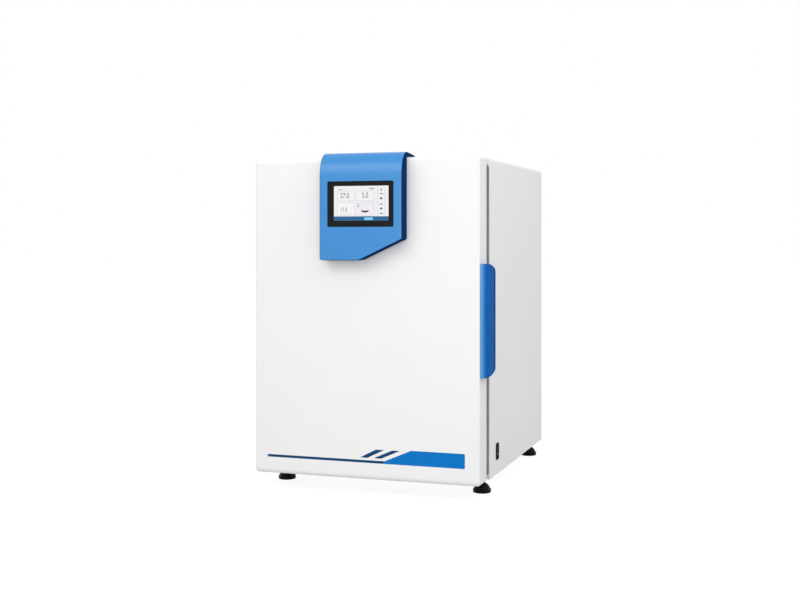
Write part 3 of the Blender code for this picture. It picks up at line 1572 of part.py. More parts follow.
def make_switch():
    """Rocker switch on the right side: a frame with a well, and a rocker that tilts in it."""
    y = FACE + SWITCH_BACKSET
    z = BASE + SWITCH_RISE
    half_width = SWITCH_WIDTH / 2
    half_height = SWITCH_HEIGHT / 2
    rim = RIGHT + CLEARANCE
    floor = RIGHT - SWITCH_BODY + 0.002

    def outline(inset, radius):
        return rectangle(y - half_width + inset, y + half_width - inset,
                         z - half_height + inset, z + half_height - inset, radius)

    well = SWITCH_RIM + 0.0015
    solid(
        "switch_frame",
        loft("X", [
            (outline(SWITCH_RIM, 0.002), RIGHT - SWITCH_BODY),
            (outline(SWITCH_RIM, 0.002), rim),
            (outline(0.0, 0.004), rim),
            (outline(0.0, 0.004), rim + SWITCH_PROUD - 0.0008),
            (outline(0.001, 0.004), rim + SWITCH_PROUD),
            (outline(well, 0.001), rim + SWITCH_PROUD),
            (outline(well, 0.001), floor),
        ]),
        black_plastic(),
    )
    pivot_x = RIGHT - 0.004
    ears = 0.0016
    rock_half_width = half_width - well - CLEARANCE - ears
    rock_half_height = half_height - well - 0.0012
    tilt = math.radians(ROCKER_TILT)
    proud = rim + SWITCH_PROUD - ROCKER_SINK - pivot_x
    heel = 0.007

    def turned_back(along, out):
        """A point of the rocker's section, tilted so that its upper half is pressed in."""
        return (pivot_x + out * math.cos(tilt) - along * math.sin(tilt),
                z + along * math.cos(tilt) + out * math.sin(tilt))

    section = [
        turned_back(-rock_half_height, -0.001),
        turned_back(-rock_half_height, proud + rock_half_height * math.tan(tilt) * 0.85),
        turned_back(0.0, proud - 0.0004),
        turned_back(rock_half_height, proud + rock_half_height * math.tan(tilt) * 0.85),
        turned_back(rock_half_height, -0.001),
        turned_back(heel * 0.5, -heel * 0.5),
        turned_back(-heel * 0.5, -heel * 0.5),
    ]
    rocker = solid(
        "switch_rocker",
        prism("Y", section, y - rock_half_width, y + rock_half_width),
        black_plastic(),
    )
    turn_about(rocker, (pivot_x, y, z))


def make_feet():
    """Levelling feet: a wide pad with a threaded stem, and the nut that locks it under the tray."""
    for name, (x, y) in foot_places().items():
        foot = solid(
            f"levelling_foot_{name}",
            turned("Z", x, y, [
                (FOOT_RADIUS - 0.0015, 0.0),
                (FOOT_RADIUS, 0.0015),
                (FOOT_RADIUS, FOOT_RIM),
                (FOOT_RADIUS - 0.0025, FOOT_RIM + 0.002),
                (FOOT_RADIUS * 0.68, FOOT_DOME * 0.68),
                (FOOT_RADIUS * 0.38, FOOT_DOME),
                (STEM_RADIUS, FOOT_DOME),
                (STEM_RADIUS, FOOT_HEIGHT + 0.012),
            ]),
            dark_rubber(),
        )
        turn_about(foot, (x, y, 0.0))
        high = BASE - CLEARANCE
        nut = solid(
            f"foot_locknut_{name}",
            prism("Z", circle(x, y, NUT_ACROSS / math.sqrt(3), 6), high - NUT_HEIGHT, high),
            plated_steel(),
        )
        bore = STEM_RADIUS + CLEARANCE
        cut(nut, turned("Z", x, y, [(bore, BASE - 0.02), (bore, BASE + 0.01)], SMALL_STEPS))


def main():
    remove_all()
    make_casing()
    make_base_tray()
    make_chamber()
    make_insulation()
    make_front_frame()
    make_rear_panel()
    make_service_cover()
    make_spacers()
    make_mains_inlet()
    make_data_port()
    make_gas_inlet()
    make_access_port()
    make_duct()
    make_fan()
    make_filter()
    make_sensors()
    make_power_module()
    make_racks()
    make_shelves()
    make_pan()
    make_outer_hinges()
    make_inner_hinges()
    make_inner_door()
    make_latch()
    make_door_skin()
    make_door_inside()
    make_grip()
    make_panel()
    make_switch()
    make_feet()


if __name__ == "__main__":
    main()
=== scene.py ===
"""Carbon dioxide incubator: its visible surface, finishes, studio light and camera.

Metres, +Z up, front towards -Y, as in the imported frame. Each operator makes one group of pieces. A piece
takes its place from the boxes of the frame's nodes, and rides on the body that carries it.
"""

import json
import math

import bmesh
import bpy
from bpy.props import FloatProperty, FloatVectorProperty, PointerProperty
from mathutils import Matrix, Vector


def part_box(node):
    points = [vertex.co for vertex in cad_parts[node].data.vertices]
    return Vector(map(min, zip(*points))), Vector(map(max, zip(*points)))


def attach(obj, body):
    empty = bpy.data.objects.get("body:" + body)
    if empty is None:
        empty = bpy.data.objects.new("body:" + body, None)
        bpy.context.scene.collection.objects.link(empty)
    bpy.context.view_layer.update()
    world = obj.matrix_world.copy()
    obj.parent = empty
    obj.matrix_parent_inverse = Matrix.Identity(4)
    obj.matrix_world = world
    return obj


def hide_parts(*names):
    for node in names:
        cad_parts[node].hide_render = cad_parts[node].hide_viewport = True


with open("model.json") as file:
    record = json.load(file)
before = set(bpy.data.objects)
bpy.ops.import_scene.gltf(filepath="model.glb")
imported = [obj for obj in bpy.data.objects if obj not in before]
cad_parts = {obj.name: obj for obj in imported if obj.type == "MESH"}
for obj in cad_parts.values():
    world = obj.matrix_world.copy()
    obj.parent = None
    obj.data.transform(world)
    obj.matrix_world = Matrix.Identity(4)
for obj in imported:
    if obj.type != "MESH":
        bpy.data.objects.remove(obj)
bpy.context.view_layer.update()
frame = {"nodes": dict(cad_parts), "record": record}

bl_info = {
    "name": "Cell Culture Incubator",
    "version": (1, 0, 0),
    "blender": (4, 5, 0),
    "location": "3D View > Sidebar > Incubator",
    "description": "Builds the visible surface, the finishes and the studio of a cell culture incubator",
    "category": "Object",
}

CORNER_STEPS = 10
ROUND_STEPS = 64
ARC_STEPS = 24
SHEET = 0.0015
GAP = 0.0003
SMUDGE_DULLING = 0.2
STUDIO_TARGET = (0, 0, 0.5)


def corners(node):
    """Lowest and highest corner of a node, as vectors."""
    low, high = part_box(node)
    return Vector(low), Vector(high)


def spans(node):
    """Lowest corner, highest corner and middle of a node."""
    low, high = corners(node)
    return low, high, (low + high) / 2


DOOR_LOW, DOOR_HIGH = corners("door_skin")
CASE_LOW, CASE_HIGH = corners("outer_casing")
LEFT, RIGHT = DOOR_LOW.x, DOOR_HIGH.x
MID = (LEFT + RIGHT) / 2
BASE, TOP = DOOR_LOW.z, DOOR_HIGH.z
DOOR_FRONT, DOOR_BACK = DOOR_LOW.y, DOOR_HIGH.y
FACE, BACK = CASE_LOW.y, CASE_HIGH.y
BODY_OF = {node: body for body, nodes in frame["record"]["behaviour"]["bodies"].items() for node in nodes}


# Values that a user would change

class IncubatorSizes(bpy.types.PropertyGroup):
    """Sizes of the visible surface"""
    edge: FloatProperty(
        name="Edge Rounding", description="Radius on the edges of folded and moulded pieces",
        default=0.0004, min=0.0001, max=0.001, unit="LENGTH")
    door_side_radius: FloatProperty(
        name="Door Side Radius", description="Radius of the door's front edges at the sides",
        default=0.0075, min=0.002, max=0.015, unit="LENGTH")
    door_top_radius: FloatProperty(
        name="Door Top Radius", description="How far the rounding runs down from the door's top edge",
        default=0.010, min=0.002, max=0.020, unit="LENGTH")
    door_bottom_radius: FloatProperty(
        name="Door Bottom Radius", description="How far the rounding runs up from the door's bottom edge",
        default=0.013, min=0.002, max=0.020, unit="LENGTH")
    door_corner_radius: FloatProperty(
        name="Door Corner Radius", description="Radius of the door's corners seen from the front",
        default=0.0085, min=0.008, max=0.020, unit="LENGTH")
    panel_edge_radius: FloatProperty(
        name="Panel Edge Radius", description="Rounding of the control panel's edges",
        default=0.0022, min=0.0005, max=0.004, unit="LENGTH")
    print_thickness: FloatProperty(
        name="Print Thickness", description="How far the printed stripe stands proud of the door",
        default=0.00012, min=0.00005, max=0.0004, unit="LENGTH")


class IncubatorColours(bpy.types.PropertyGroup):
    """Colours of the finishes"""
    white_paint: FloatVectorProperty(
        name="White Paint", description="Powder coat of the cabinet and the door",
        subtype="COLOR", size=3, min=0.0, max=1.0, default=(0.865, 0.866, 0.866))
    blue_plastic: FloatVectorProperty(
        name="Blue Plastic", description="Front of the control panel and nose of the grip",
        subtype="COLOR", size=3, min=0.0, max=1.0, default=(0.022, 0.236, 0.595))
    # the grip's side in a darker copy of the panel blue: painted shade where it turns away from the light
    grip_painted_shade: FloatVectorProperty(
        name="Grip Blue", description="Side of the grip",
        subtype="COLOR", size=3, min=0.0, max=1.0, default=(0.010, 0.128, 0.470))
    # a still darker copy of the blue: painted shade on the panel's side walls, underside and back, and on the
    # grip's free lip
    edge_painted_shade: FloatVectorProperty(
        name="Edge Blue", description="Darker side walls of the control panel and the grip's free lip",
        subtype="COLOR", size=3, min=0.0, max=1.0, default=(0.006, 0.038, 0.130))
    stripe_ink: FloatVectorProperty(
        name="Stripe Ink", description="Printed stripe on the door",
        subtype="COLOR", size=3, min=0.0, max=1.0, default=(0.004, 0.182, 0.565))
    line_ink: FloatVectorProperty(
        name="Line Ink", description="Printed line and bars before the stripe's block",
        subtype="COLOR", size=3, min=0.0, max=1.0, default=(0.008, 0.062, 0.165))
    black_plastic: FloatVectorProperty(
        name="Black Plastic", description="Switch, bezel and small mouldings",
        subtype="COLOR", size=3, min=0.0, max=1.0, default=(0.010, 0.010, 0.011))
    screen_light: FloatVectorProperty(
        name="Screen Light", description="Lit background of the touch screen",
        subtype="COLOR", size=3, min=0.0, max=1.0, default=(0.86, 0.87, 0.88))
    screen_bar: FloatVectorProperty(
        name="Screen Bar", description="Bar along the bottom of the touch screen",
        subtype="COLOR", size=3, min=0.0, max=1.0, default=(0.006, 0.115, 0.300))


class IncubatorStudio(bpy.types.PropertyGroup):
    """Light and camera"""
    ambient: FloatProperty(
        name="Ambient", description="Strength of the pale room around the object",
        default=0.65, min=0.0, max=2.0)
    key_power: FloatProperty(
        name="Key Light", description="Power of the large soft light in front",
        default=31.0, min=0.0, max=500.0, unit="POWER")
    top_power: FloatProperty(
        name="Top Light", description="Power of the wide soft light above the front",
        default=27.0, min=0.0, max=500.0, unit="POWER")
    side_power: FloatProperty(
        name="Side Light", description="Power of the soft light high on the right",
        default=15.5, min=0.0, max=500.0, unit="POWER")
    lens: FloatProperty(
        name="Lens", description="Focal length of the camera in millimetres",
        default=53.3, min=20.0, max=200.0, subtype="DISTANCE_CAMERA")


def sizes():
    return bpy.context.scene.incubator_sizes


def colours():
    return bpy.context.scene.incubator_colours


def studio():
    return bpy.context.scene.incubator_studio


# Shapes

def at(axis, u, v, w):
    """A point w along the axis and (u, v) across it, in X, Y, Z order."""
    if axis == "X":
        return Vector((w, u, v))
    if axis == "Y":
        return Vector((u, w, v))
    return Vector((u, v, w))


def rectangle(u0, u1, v0, v1, radius=0.0, steps=CORNER_STEPS):
    """Outline of a rectangle, with quarter rounds at its corners if it has a radius."""
    if radius <= 0:
        return [(u0, v0), (u1, v0), (u1, v1), (u0, v1)]
    points = []
    for u, v, inwards, upwards, start in (
            (u1, v0, -1, 1, 270), (u1, v1, -1, -1, 0), (u0, v1, 1, -1, 90), (u0, v0, 1, 1, 180)):
        points += arc(u + inwards * radius, v + upwards * radius, radius, start, start + 90, steps)
    return points


def star(u, v, even, odd, count):
    """Outline that goes in and out: its even and its odd points lie at these two distances."""
    turns = [2 * math.pi * k / count for k in range(count)]
    reaches = [odd if k % 2 else even for k in range(count)]
    return [(u + reach * math.cos(turn), v + reach * math.sin(turn)) for reach, turn in zip(reaches, turns)]


def circle(u, v, radius, steps=ROUND_STEPS):
    return star(u, v, radius, radius, steps)


def arc(u, v, radius, first, last, steps=CORNER_STEPS):
    """Points of an arc between two angles in degrees."""
    turns = [math.radians(first + (last - first) * step / steps) for step in range(steps + 1)]
    return [(u + radius * math.cos(turn), v + radius * math.sin(turn)) for turn in turns]


def quarter(steps):
    """Turns of a quarter round in even steps, in radians."""
    return [math.radians(90 * step / steps) for step in range(steps + 1)]


def shares_of(steps):
    """Even steps from 0 to 1."""
    return [step / steps for step in range(steps + 1)]


def ridges(count, start, pitch, points):
    """Repeated part of a turned profile; each point is a radius and its place after the start of a ridge."""
    return [(radius, start + ridge * pitch + place) for ridge in range(count) for radius, place in points]


def loft(axis, sections, ring=False):
    """Skin equal outlines, each (points, place along the axis); a ring closes on itself, the rest get caps."""
    shape = bmesh.new()
    loops = [[shape.verts.new(at(axis, u, v, w)) for u, v in points] for points, w in sections]
    pairs = list(zip(loops, loops[1:]))
    if ring:
        pairs.append((loops[-1], loops[0]))
    for near, far in pairs:
        for i in range(len(near)):
            following = (i + 1) % len(near)
            shape.faces.new((near[i], near[following], far[following], far[i]))
    if not ring:
        shape.faces.new(loops[0])
        shape.faces.new(loops[-1])
    bmesh.ops.recalc_face_normals(shape, faces=shape.faces)
    return shape


def prism(axis, outline, low, high):
    return loft(axis, [(outline, low), (outline, high)])


def block(x0, x1, y0, y1, z0, z1):
    return prism("Y", rectangle(x0, x1, z0, z1), y0, y1)


def turned(axis, middle, profile, steps=ROUND_STEPS, ring=False):
    """A shape turned about an axis along Y or Z: its profile is a list of (radius, place along the axis)."""
    x, y, z = middle
    u, v = (x, y) if axis == "Z" else (x, z)
    return loft(axis, [(circle(u, v, radius, steps), w) for radius, w in profile], ring)


def mesh_of(shape, name="passing"):
    """A mesh made from a shape, which is used up."""
    mesh = bpy.data.meshes.new(name)
    shape.to_mesh(mesh)
    shape.free()
    return mesh


def linked(name, data):
    """A new object in the scene."""
    obj = bpy.data.objects.new(name, data)
    bpy.context.scene.collection.objects.link(obj)
    return obj


def merged(shapes):
    """Several separate shapes as one."""
    whole = bmesh.new()
    for shape in shapes:
        mesh = mesh_of(shape)
        whole.from_mesh(mesh)
        bpy.data.meshes.remove(mesh)
    return whole


def stand_by(shape):
    """A passing object for a modifier to work on."""
    return linked("passing", mesh_of(shape))


def settled(obj, *others):
    """The evaluated shape of a passing object, which is then removed with the others."""
    bpy.context.view_layer.update()
    mesh = bpy.data.meshes.new_from_object(obj.evaluated_get(bpy.context.evaluated_depsgraph_get()))
    shape = bmesh.new()
    shape.from_mesh(mesh)
    bpy.data.meshes.remove(mesh)
    for passing in (obj, *others):
        data = passing.data
        store = bpy.data.curves if isinstance(data, bpy.types.Curve) else bpy.data.meshes
        bpy.data.objects.remove(passing, do_unlink=True)
        store.remove(data)
    return shape


def carved(shape, tool, operation="DIFFERENCE"):
    """A shape cut by, joined with or kept inside a tool."""
    obj = stand_by(shape)
    cutter = stand_by(tool)
    modifier = obj.modifiers.new("carve", "BOOLEAN")
    modifier.operation = operation
    modifier.solver = "EXACT"
    modifier.object = cutter
    return settled(obj, cutter)


def bevelled(obj, width, segments, angle):
    """Round the edges of an object that are sharper than an angle."""
    modifier = obj.modifiers.new("edge_rounding", "BEVEL")
    modifier.limit_method = "ANGLE"
    modifier.angle_limit = math.radians(angle)
    modifier.width = width
    modifier.segments = segments
    return modifier


def softened(shape, width, segments, angle):
    """A shape with its sharp edges rounded."""
    obj = stand_by(shape)
    bevelled(obj, width, segments, angle)
    return settled(obj)


def piece(name, shape, material, body, nodes=(), edge=None, angle=38):
    """Put a shape in the scene as a finished piece that rides on a body and stands for these nodes.

    The material is one material, or a list that the shape's faces choose from by their index.
    """
    mesh = mesh_of(shape, name)
    for finish in material if isinstance(material, list) else [material]:
        mesh.materials.append(finish)
    mesh.shade_smooth()
    mesh.set_sharp_from_angle(angle=math.radians(angle))
    obj = linked(name, mesh)
    width = sizes().edge if edge is None else edge
    if width > 0:
        bevelled(obj, width, 2, angle).harden_normals = True
    obj.modifiers.new("flat_faces", "WEIGHTED_NORMAL").keep_sharp = True
    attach(obj, body)
    if nodes:
        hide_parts(*nodes)


def faced(shape, choose):
    """Give each face the material whose index choose finds from its normal and its centre."""
    shape.normal_update()
    for face in shape.faces:
        face.material_index = choose(face.normal, face.calc_center_median())
    return shape


def placed(shape, origin, across, up):
    """Lay a shape that was drawn flat, with X across and Y up, on a plane through the origin point."""
    out = across.cross(up)
    for vert in shape.verts:
        x, y, z = vert.co
        vert.co = origin + across * x + up * y + out * z
    return shape


def stands_for(node, shape, material, edge=None, angle=38, name=None):
    """A piece made anew in the place of one node."""
    piece(name or f"finished_{node}", shape, material, BODY_OF[node], (node,), edge, angle)


def clean_copy(node):
    """The node's own shape, with its flat faces in one piece."""
    near, flat = 0.00001, math.radians(0.5)
    shape = bmesh.new()
    shape.from_mesh(frame["nodes"][node].data)
    bmesh.ops.remove_doubles(shape, verts=shape.verts, dist=near)
    bmesh.ops.dissolve_limit(shape, angle_limit=flat, verts=shape.verts, edges=shape.edges)
    bmesh.ops.recalc_face_normals(shape, faces=shape.faces)
    return shape


def dressed(node, material, edge=None):
    """The node's own shape with clean faces, rounded edges and its finish."""
    stands_for(node, clean_copy(node), material, edge)


def coat(node, material):
    """Give a carried-over node its finish."""
    for slot in frame["nodes"][node].material_slots:
        slot.material = material


# Effects that several finishes share

def add(tree, kind, inputs=None, **settings):
    """Place a node; an input is a socket to link from or a plain value."""
    node = tree.nodes.new(kind)
    for key, value in settings.items():
        setattr(node, key, value)
    for key, value in (inputs or {}).items():
        if isinstance(value, bpy.types.NodeSocket):
            tree.links.new(value, node.inputs[key])
        else:
            node.inputs[key].default_value = value
    return node


def mixed(tree, factor, first, second):
    """Two colours mixed by a factor; each is a socket or a plain colour."""
    # the colour sockets of this node are its seventh and eighth, because others share their names
    return add(tree, "ShaderNodeMix", {"Factor": factor, 6: first, 7: second}, data_type="RGBA").outputs[2]


def effect(name, inputs, outputs, build):
    """A shader node group, built once; build returns the sockets that feed its outputs."""
    tree = bpy.data.node_groups.get(name)
    if tree:
        return tree
    tree = bpy.data.node_groups.new(name, "ShaderNodeTree")
    for label, value in inputs:
        tree.interface.new_socket(label, in_out="INPUT", socket_type="NodeSocketFloat").default_value = value
    for label in outputs:
        tree.interface.new_socket(label, in_out="OUTPUT", socket_type="NodeSocketFloat")
    given = tree.nodes.new("NodeGroupInput").outputs
    result = tree.nodes.new("NodeGroupOutput").inputs
    for label, socket in zip(outputs, build(tree, given)):
        tree.links.new(socket, result[label])
    return tree


def scaled_place(tree, along, across):
    """Object coordinates divided by a length along X and a width across it."""
    place = tree.nodes.new("ShaderNodeTexCoord").outputs["Object"]
    grain = add(tree, "ShaderNodeCombineXYZ", {"X": along, "Y": across, "Z": across})
    return add(tree, "ShaderNodeVectorMath", {0: place, 1: grain.outputs[0]}, operation="DIVIDE").outputs[0]


def noise(tree, along, across, detail, scale=1.0):
    """Uneven values whose spots have this length and width."""
    return add(tree, "ShaderNodeTexNoise", {
        "Vector": scaled_place(tree, along, across), "Scale": scale, "Detail": detail}).outputs["Fac"]


def ranged(tree, value, low, high, to_low=0.0, to_high=1.0):
    """A value moved from one range to another and kept inside it."""
    return add(tree, "ShaderNodeMapRange", {
        "Value": value, "From Min": low, "From Max": high, "To Min": to_low, "To Max": to_high,
    }).outputs["Result"]


def times(tree, first, second):
    return add(tree, "ShaderNodeMath", {0: first, 1: second}, operation="MULTIPLY").outputs[0]


def fine_grain():
    """Small bumps of a finish, and broad patches over it."""
    def build(tree, given):
        fine = noise(tree, given["Length"], given["Width"], 3.0)
        broad = noise(tree, given["Patch"], given["Patch"], 2.0)
        return fine, ranged(tree, broad, 0.3, 0.7)
    inputs = (("Length", 0.001), ("Width", 0.001), ("Patch", 0.15))
    return effect("Fine Grain", inputs, ("Height", "Shade"), build)


def handling_smudges():
    """Where hands have dulled or polished a surface."""
    def build(tree, given):
        spots = noise(tree, given["Size"], given["Size"], 1.5)
        return (ranged(tree, spots, 0.40, 0.80, to_high=given["Amount"]),)
    return effect("Handling Smudges", (("Size", 0.05), ("Amount", 0.5)), ("Mask",), build)


def edge_wear():
    """A broken line along the edges, where a finish has rubbed thin."""
    def build(tree, given):
        rounded = add(tree, "ShaderNodeBevel", {"Radius": given["Radius"]}, samples=4)
        true = tree.nodes.new("ShaderNodeNewGeometry").outputs["Normal"]
        likeness = add(tree, "ShaderNodeVectorMath", {0: rounded.outputs[0], 1: true}, operation="DOT_PRODUCT")
        edge = ranged(tree, likeness.outputs["Value"], 0.98, 0.80)
        broken = ranged(tree, noise(tree, given["Radius"], given["Radius"], 3.0, 0.35), 0.42, 0.60)
        return (times(tree, times(tree, edge, broken), given["Amount"]),)
    return effect("Edge Wear", (("Radius", 0.0008), ("Amount", 0.5)), ("Mask",), build)


def textured(name, colour, roughness, grain, height, patch, tint, metallic=0.0, spread=0.06,
             smudges=(0.05, 0.0), wear=None, specular=0.5, plain=None):
    """A finish with grain, broad shading, uneven gloss, and worn edges where it has any.

    The grain is one size, or a length along X and a width. Smudges are a size and an amount, and wear is a
    colour, a reach and an amount. A deeper tint shows in the broad patches, and the gloss spreads with them.
    """
    name += "_finish"
    material = bpy.data.materials.get(name)
    if material:
        return material
    material = bpy.data.materials.new(name)
    material.use_nodes = True
    tree = material.node_tree
    shader = tree.nodes["Principled BSDF"]
    along, across = grain if isinstance(grain, tuple) else (grain, grain)
    texture = add(tree, "ShaderNodeGroup", {"Length": along, "Width": across, "Patch": patch},
                  node_tree=fine_grain()).outputs
    skin = mixed(tree, texture["Shade"], (*colour, 1.0), (*(channel * (1 - tint) for channel in colour), 1.0))
    gloss = ranged(tree, texture["Shade"], 0.0, 1.0, roughness - spread / 2, roughness + spread / 2)
    size, amount = smudges
    marks = add(tree, "ShaderNodeGroup", {"Size": size, "Amount": amount}, node_tree=handling_smudges())
    dulled = add(tree, "ShaderNodeMath", {0: marks.outputs["Mask"], 1: SMUDGE_DULLING, 2: gloss},
                 operation="MULTIPLY_ADD")
    if wear:
        worn_colour, radius, amount = wear
        rub = add(tree, "ShaderNodeGroup", {"Radius": radius, "Amount": amount}, node_tree=edge_wear())
        skin = mixed(tree, rub.outputs["Mask"], skin, (*worn_colour, 1.0))
    bump = add(tree, "ShaderNodeBump", {
        "Strength": height, "Distance": min(along, across), "Height": texture["Height"]})
    tree.links.new(skin, shader.inputs["Base Color"])
    tree.links.new(dulled.outputs[0], shader.inputs["Roughness"])
    tree.links.new(bump.outputs[0], shader.inputs["Normal"])
    for key, value in {"Metallic": metallic, "Specular IOR Level": specular, **(plain or {})}.items():
        shader.inputs[key].default_value = value
    return material


# Finishes

def white_paint():
    """Fine orange peel of a powder coat."""
    return textured("white_powder_coat", colours().white_paint, 0.40, grain=0.0016, height=0.035,
                    patch=0.22, tint=0.012, spread=0.05, smudges=(0.09, 0.10))


def blue_plastic():
    """Satin gloss of the panel's front."""
    return textured("blue_plastic", colours().blue_plastic, 0.31, grain=0.0009, height=0.03,
                    patch=0.05, tint=0.04, spread=0.04, smudges=(0.03, 0.20), specular=0.6)


def nose_painted_half_shade():
    """Painted half shade between the lit nose of the grip and its side in painted shade."""
    between = [(light + deep) / 2 for light, deep in zip(colours().blue_plastic, colours().grip_painted_shade)]
    return textured("nose_painted_half_shade", between, 0.32, grain=0.0008, height=0.04, patch=0.04, tint=0.06,
                    spread=0.04, smudges=(0.03, 0.2), specular=0.10)


# painted shade: the grip's side, a darker copy of the panel blue with almost no reflection
def grip_painted_shade():
    return textured("grip_painted_shade", colours().grip_painted_shade, 0.34, grain=0.0008, height=0.05, patch=0.04,
                    tint=0.08, spread=0.06, smudges=(0.03, 0.25), specular=0.005)


# painted shade: the darkest copy of the blue, with no reflection, for faces turned from the light
def edge_painted_shade():
    return textured("edge_painted_shade", colours().edge_painted_shade, 0.40, grain=0.0008, height=0.06, patch=0.04,
                    tint=0.12, spread=0.06, smudges=(0.03, 0.25), specular=0.0)


def printed(name, colour):
    """Satin ink on the powder coat."""
    return textured(name, colour, 0.36, grain=0.0010, height=0.03, patch=0.06, tint=0.05, smudges=(0.05, 0.1),
                    specular=0.06)


def black_plastic():
    """Spark-eroded grain of a moulded part."""
    return textured("black_plastic", colours().black_plastic, 0.40, grain=0.0005, height=0.16,
                    patch=0.03, tint=0.2, smudges=(0.02, 0.3), wear=((0.05, 0.05, 0.055), 0.0006, 0.4),
                    specular=0.25)


def switch_black():
    """Matt black of the switch, which is seen along its face."""
    return textured("switch_black", (0.006, 0.006, 0.006), 0.45, grain=0.0005, height=0.16, patch=0.03,
                    tint=0.2, smudges=(0.02, 0.3), wear=((0.02, 0.02, 0.022), 0.0006, 0.3),
                    specular=0.008)


def bezel_gloss():
    return textured("black_gloss", [channel * 0.5 for channel in colours().black_plastic], 0.16,
                    grain=0.002, height=0.012, patch=0.04, tint=0.15, spread=0.04, smudges=(0.025, 0.4),
                    specular=0.16)


def grey_plastic():
    return textured("grey_plastic", (0.16, 0.165, 0.17), 0.5, grain=0.0006, height=0.16, patch=0.05,
                    tint=0.12, smudges=(0.04, 0.2), wear=((0.28, 0.28, 0.29), 0.0006, 0.4))


def brushed_stainless():
    """Brushed along X, with the broad unevenness of rolled sheet."""
    return textured("brushed_stainless", (0.62, 0.62, 0.615), 0.33, metallic=1.0, grain=(0.08, 0.0007),
                    height=0.02, patch=0.25, tint=0.05, spread=0.05, smudges=(0.12, 0.25))


def zinc_plate():
    return textured("zinc_plate", (0.53, 0.54, 0.56), 0.36, metallic=1.0, grain=0.0012, height=0.10,
                    patch=0.012, tint=0.22, spread=0.16, smudges=(0.02, 0.3),
                    wear=((0.70, 0.70, 0.70), 0.0005, 0.6))


def dark_rubber():
    return textured("dark_rubber", (0.016, 0.016, 0.017), 0.70, grain=0.0008, height=0.25, patch=0.02,
                    tint=0.25, spread=0.12, smudges=(0.015, 0.3), wear=((0.04, 0.04, 0.04), 0.0008, 0.5),
                    specular=0.03)


def foot_black():
    """Black moulding of the feet, glossier than rubber."""
    return textured("foot_black", (0.004, 0.004, 0.004), 0.20, grain=0.0008, height=0.05, patch=0.02,
                    tint=0.25, spread=0.06, smudges=(0.015, 0.15), wear=((0.03, 0.03, 0.03), 0.0008, 0.3),
                    specular=0.10)


def white_marking():
    return textured("white_marking", (0.80, 0.80, 0.80), 0.5, grain=0.0004, height=0.05, patch=0.004,
                    tint=0.06)


def silicone():
    return textured("silicone", (0.58, 0.60, 0.61), 0.48, grain=0.0012, height=0.10, patch=0.03,
                    tint=0.08, smudges=(0.02, 0.3),
                    plain={"Subsurface Weight": 0.12, "Subsurface Scale": 0.003})


def foam_core():
    return textured("insulation_foam", (0.78, 0.71, 0.48), 0.9, grain=0.0018, height=0.6, patch=0.04,
                    tint=0.18)


def filter_paper():
    return textured("filter_paper", (0.84, 0.845, 0.82), 0.88, grain=(0.0022, 0.0004), height=0.35, patch=0.02,
                    tint=0.08)


def circuit_board():
    """Green lacquer over a pattern of copper runs."""
    lacquer = (0.015, 0.16, 0.06)
    material = textured("circuit_board", lacquer, 0.38, grain=0.0006, height=0.08, patch=0.02, tint=0.2)
    tree = material.node_tree
    if not tree.nodes.get("copper_runs"):
        place = tree.nodes.new("ShaderNodeTexCoord").outputs["Object"]
        turned_flat = add(tree, "ShaderNodeMapping", {"Vector": place, "Rotation": (math.pi / 2, 0, 0)})
        runs = add(tree, "ShaderNodeTexBrick", {
            "Vector": turned_flat.outputs[0], "Scale": 220.0, "Mortar Size": 0.06, "Color1": (*lacquer, 1),
            "Color2": (0.012, 0.12, 0.045, 1), "Mortar": (0.05, 0.30, 0.12, 1)}, name="copper_runs")
        tree.links.new(runs.outputs["Color"], tree.nodes["Principled BSDF"].inputs["Base Color"])
    return material


def clear_glass():
    """Clear sheet with the green of its iron, and faint smears that only change its gloss."""
    return textured("clear_glass", (0.90, 0.965, 0.945), 0.03, grain=0.004, height=0.004, patch=0.08,
                    tint=0.02, spread=0.02, smudges=(0.07, 0.15),
                    plain={"Transmission Weight": 1.0, "IOR": 1.5})


def lit(name, colour):
    """A part of the screen that gives its own light under smooth glass."""
    material = textured(name, (0.012, 0.013, 0.015), 0.10, grain=0.003, height=0.004, patch=0.03,
                        tint=0.05, spread=0.03, smudges=(0.02, 0.2), specular=0.25)
    tree = material.node_tree
    shader = tree.nodes["Principled BSDF"]
    if not shader.inputs["Emission Color"].is_linked:
        glow = add(tree, "ShaderNodeGroup", {"Patch": 0.06}, node_tree=fine_grain())
        dimmer = (channel * 0.96 for channel in colour)
        shine = mixed(tree, glow.outputs["Shade"], (*colour, 1.0), (*dimmer, 1.0))
        tree.links.new(shine, shader.inputs["Emission Color"])
        shader.inputs["Emission Strength"].default_value = 1.0
    return material


# Outer door

def body_outline(inset, radius, shares=(1.0, 1.0, 1.0)):
    """The door seen from the front, drawn in by an inset times a share for sides, top and bottom."""
    side, top, bottom = (inset * share for share in shares)
    return rectangle(LEFT + side, RIGHT - side, BASE + bottom, TOP - top, radius)


def door_shell():
    """Painted shell, rounded to the front and folded in at the back."""
    radii = (sizes().door_side_radius, sizes().door_top_radius, sizes().door_bottom_radius)
    widest = max(radii)
    shares = tuple(radius / widest for radius in radii)
    corner = sizes().door_corner_radius
    fold = 0.0028
    returned = 0.026
    sections = [(body_outline(widest * (1 - math.sin(turn)), corner - radii[0] * (1 - math.sin(turn)), shares),
                 DOOR_FRONT + radii[0] * (1 - math.cos(turn))) for turn in quarter(CORNER_STEPS)]
    sections += [(body_outline(fold * (1 - math.cos(turn)), corner), DOOR_BACK - fold * (1 - math.sin(turn)))
                 for turn in quarter(4)]
    sections += [
        (body_outline(returned, corner), DOOR_BACK),
        (body_outline(returned, corner), DOOR_BACK - SHEET),
        (body_outline(SHEET, corner - SHEET), DOOR_BACK - SHEET),
        (body_outline(SHEET, corner - SHEET), DOOR_FRONT + radii[0]),
        (body_outline(widest * 0.8, corner - SHEET, shares), DOOR_FRONT + SHEET),
    ]
    stands_for("door_skin", loft("Y", sections), white_paint(), edge=0, angle=50, name="door_shell")


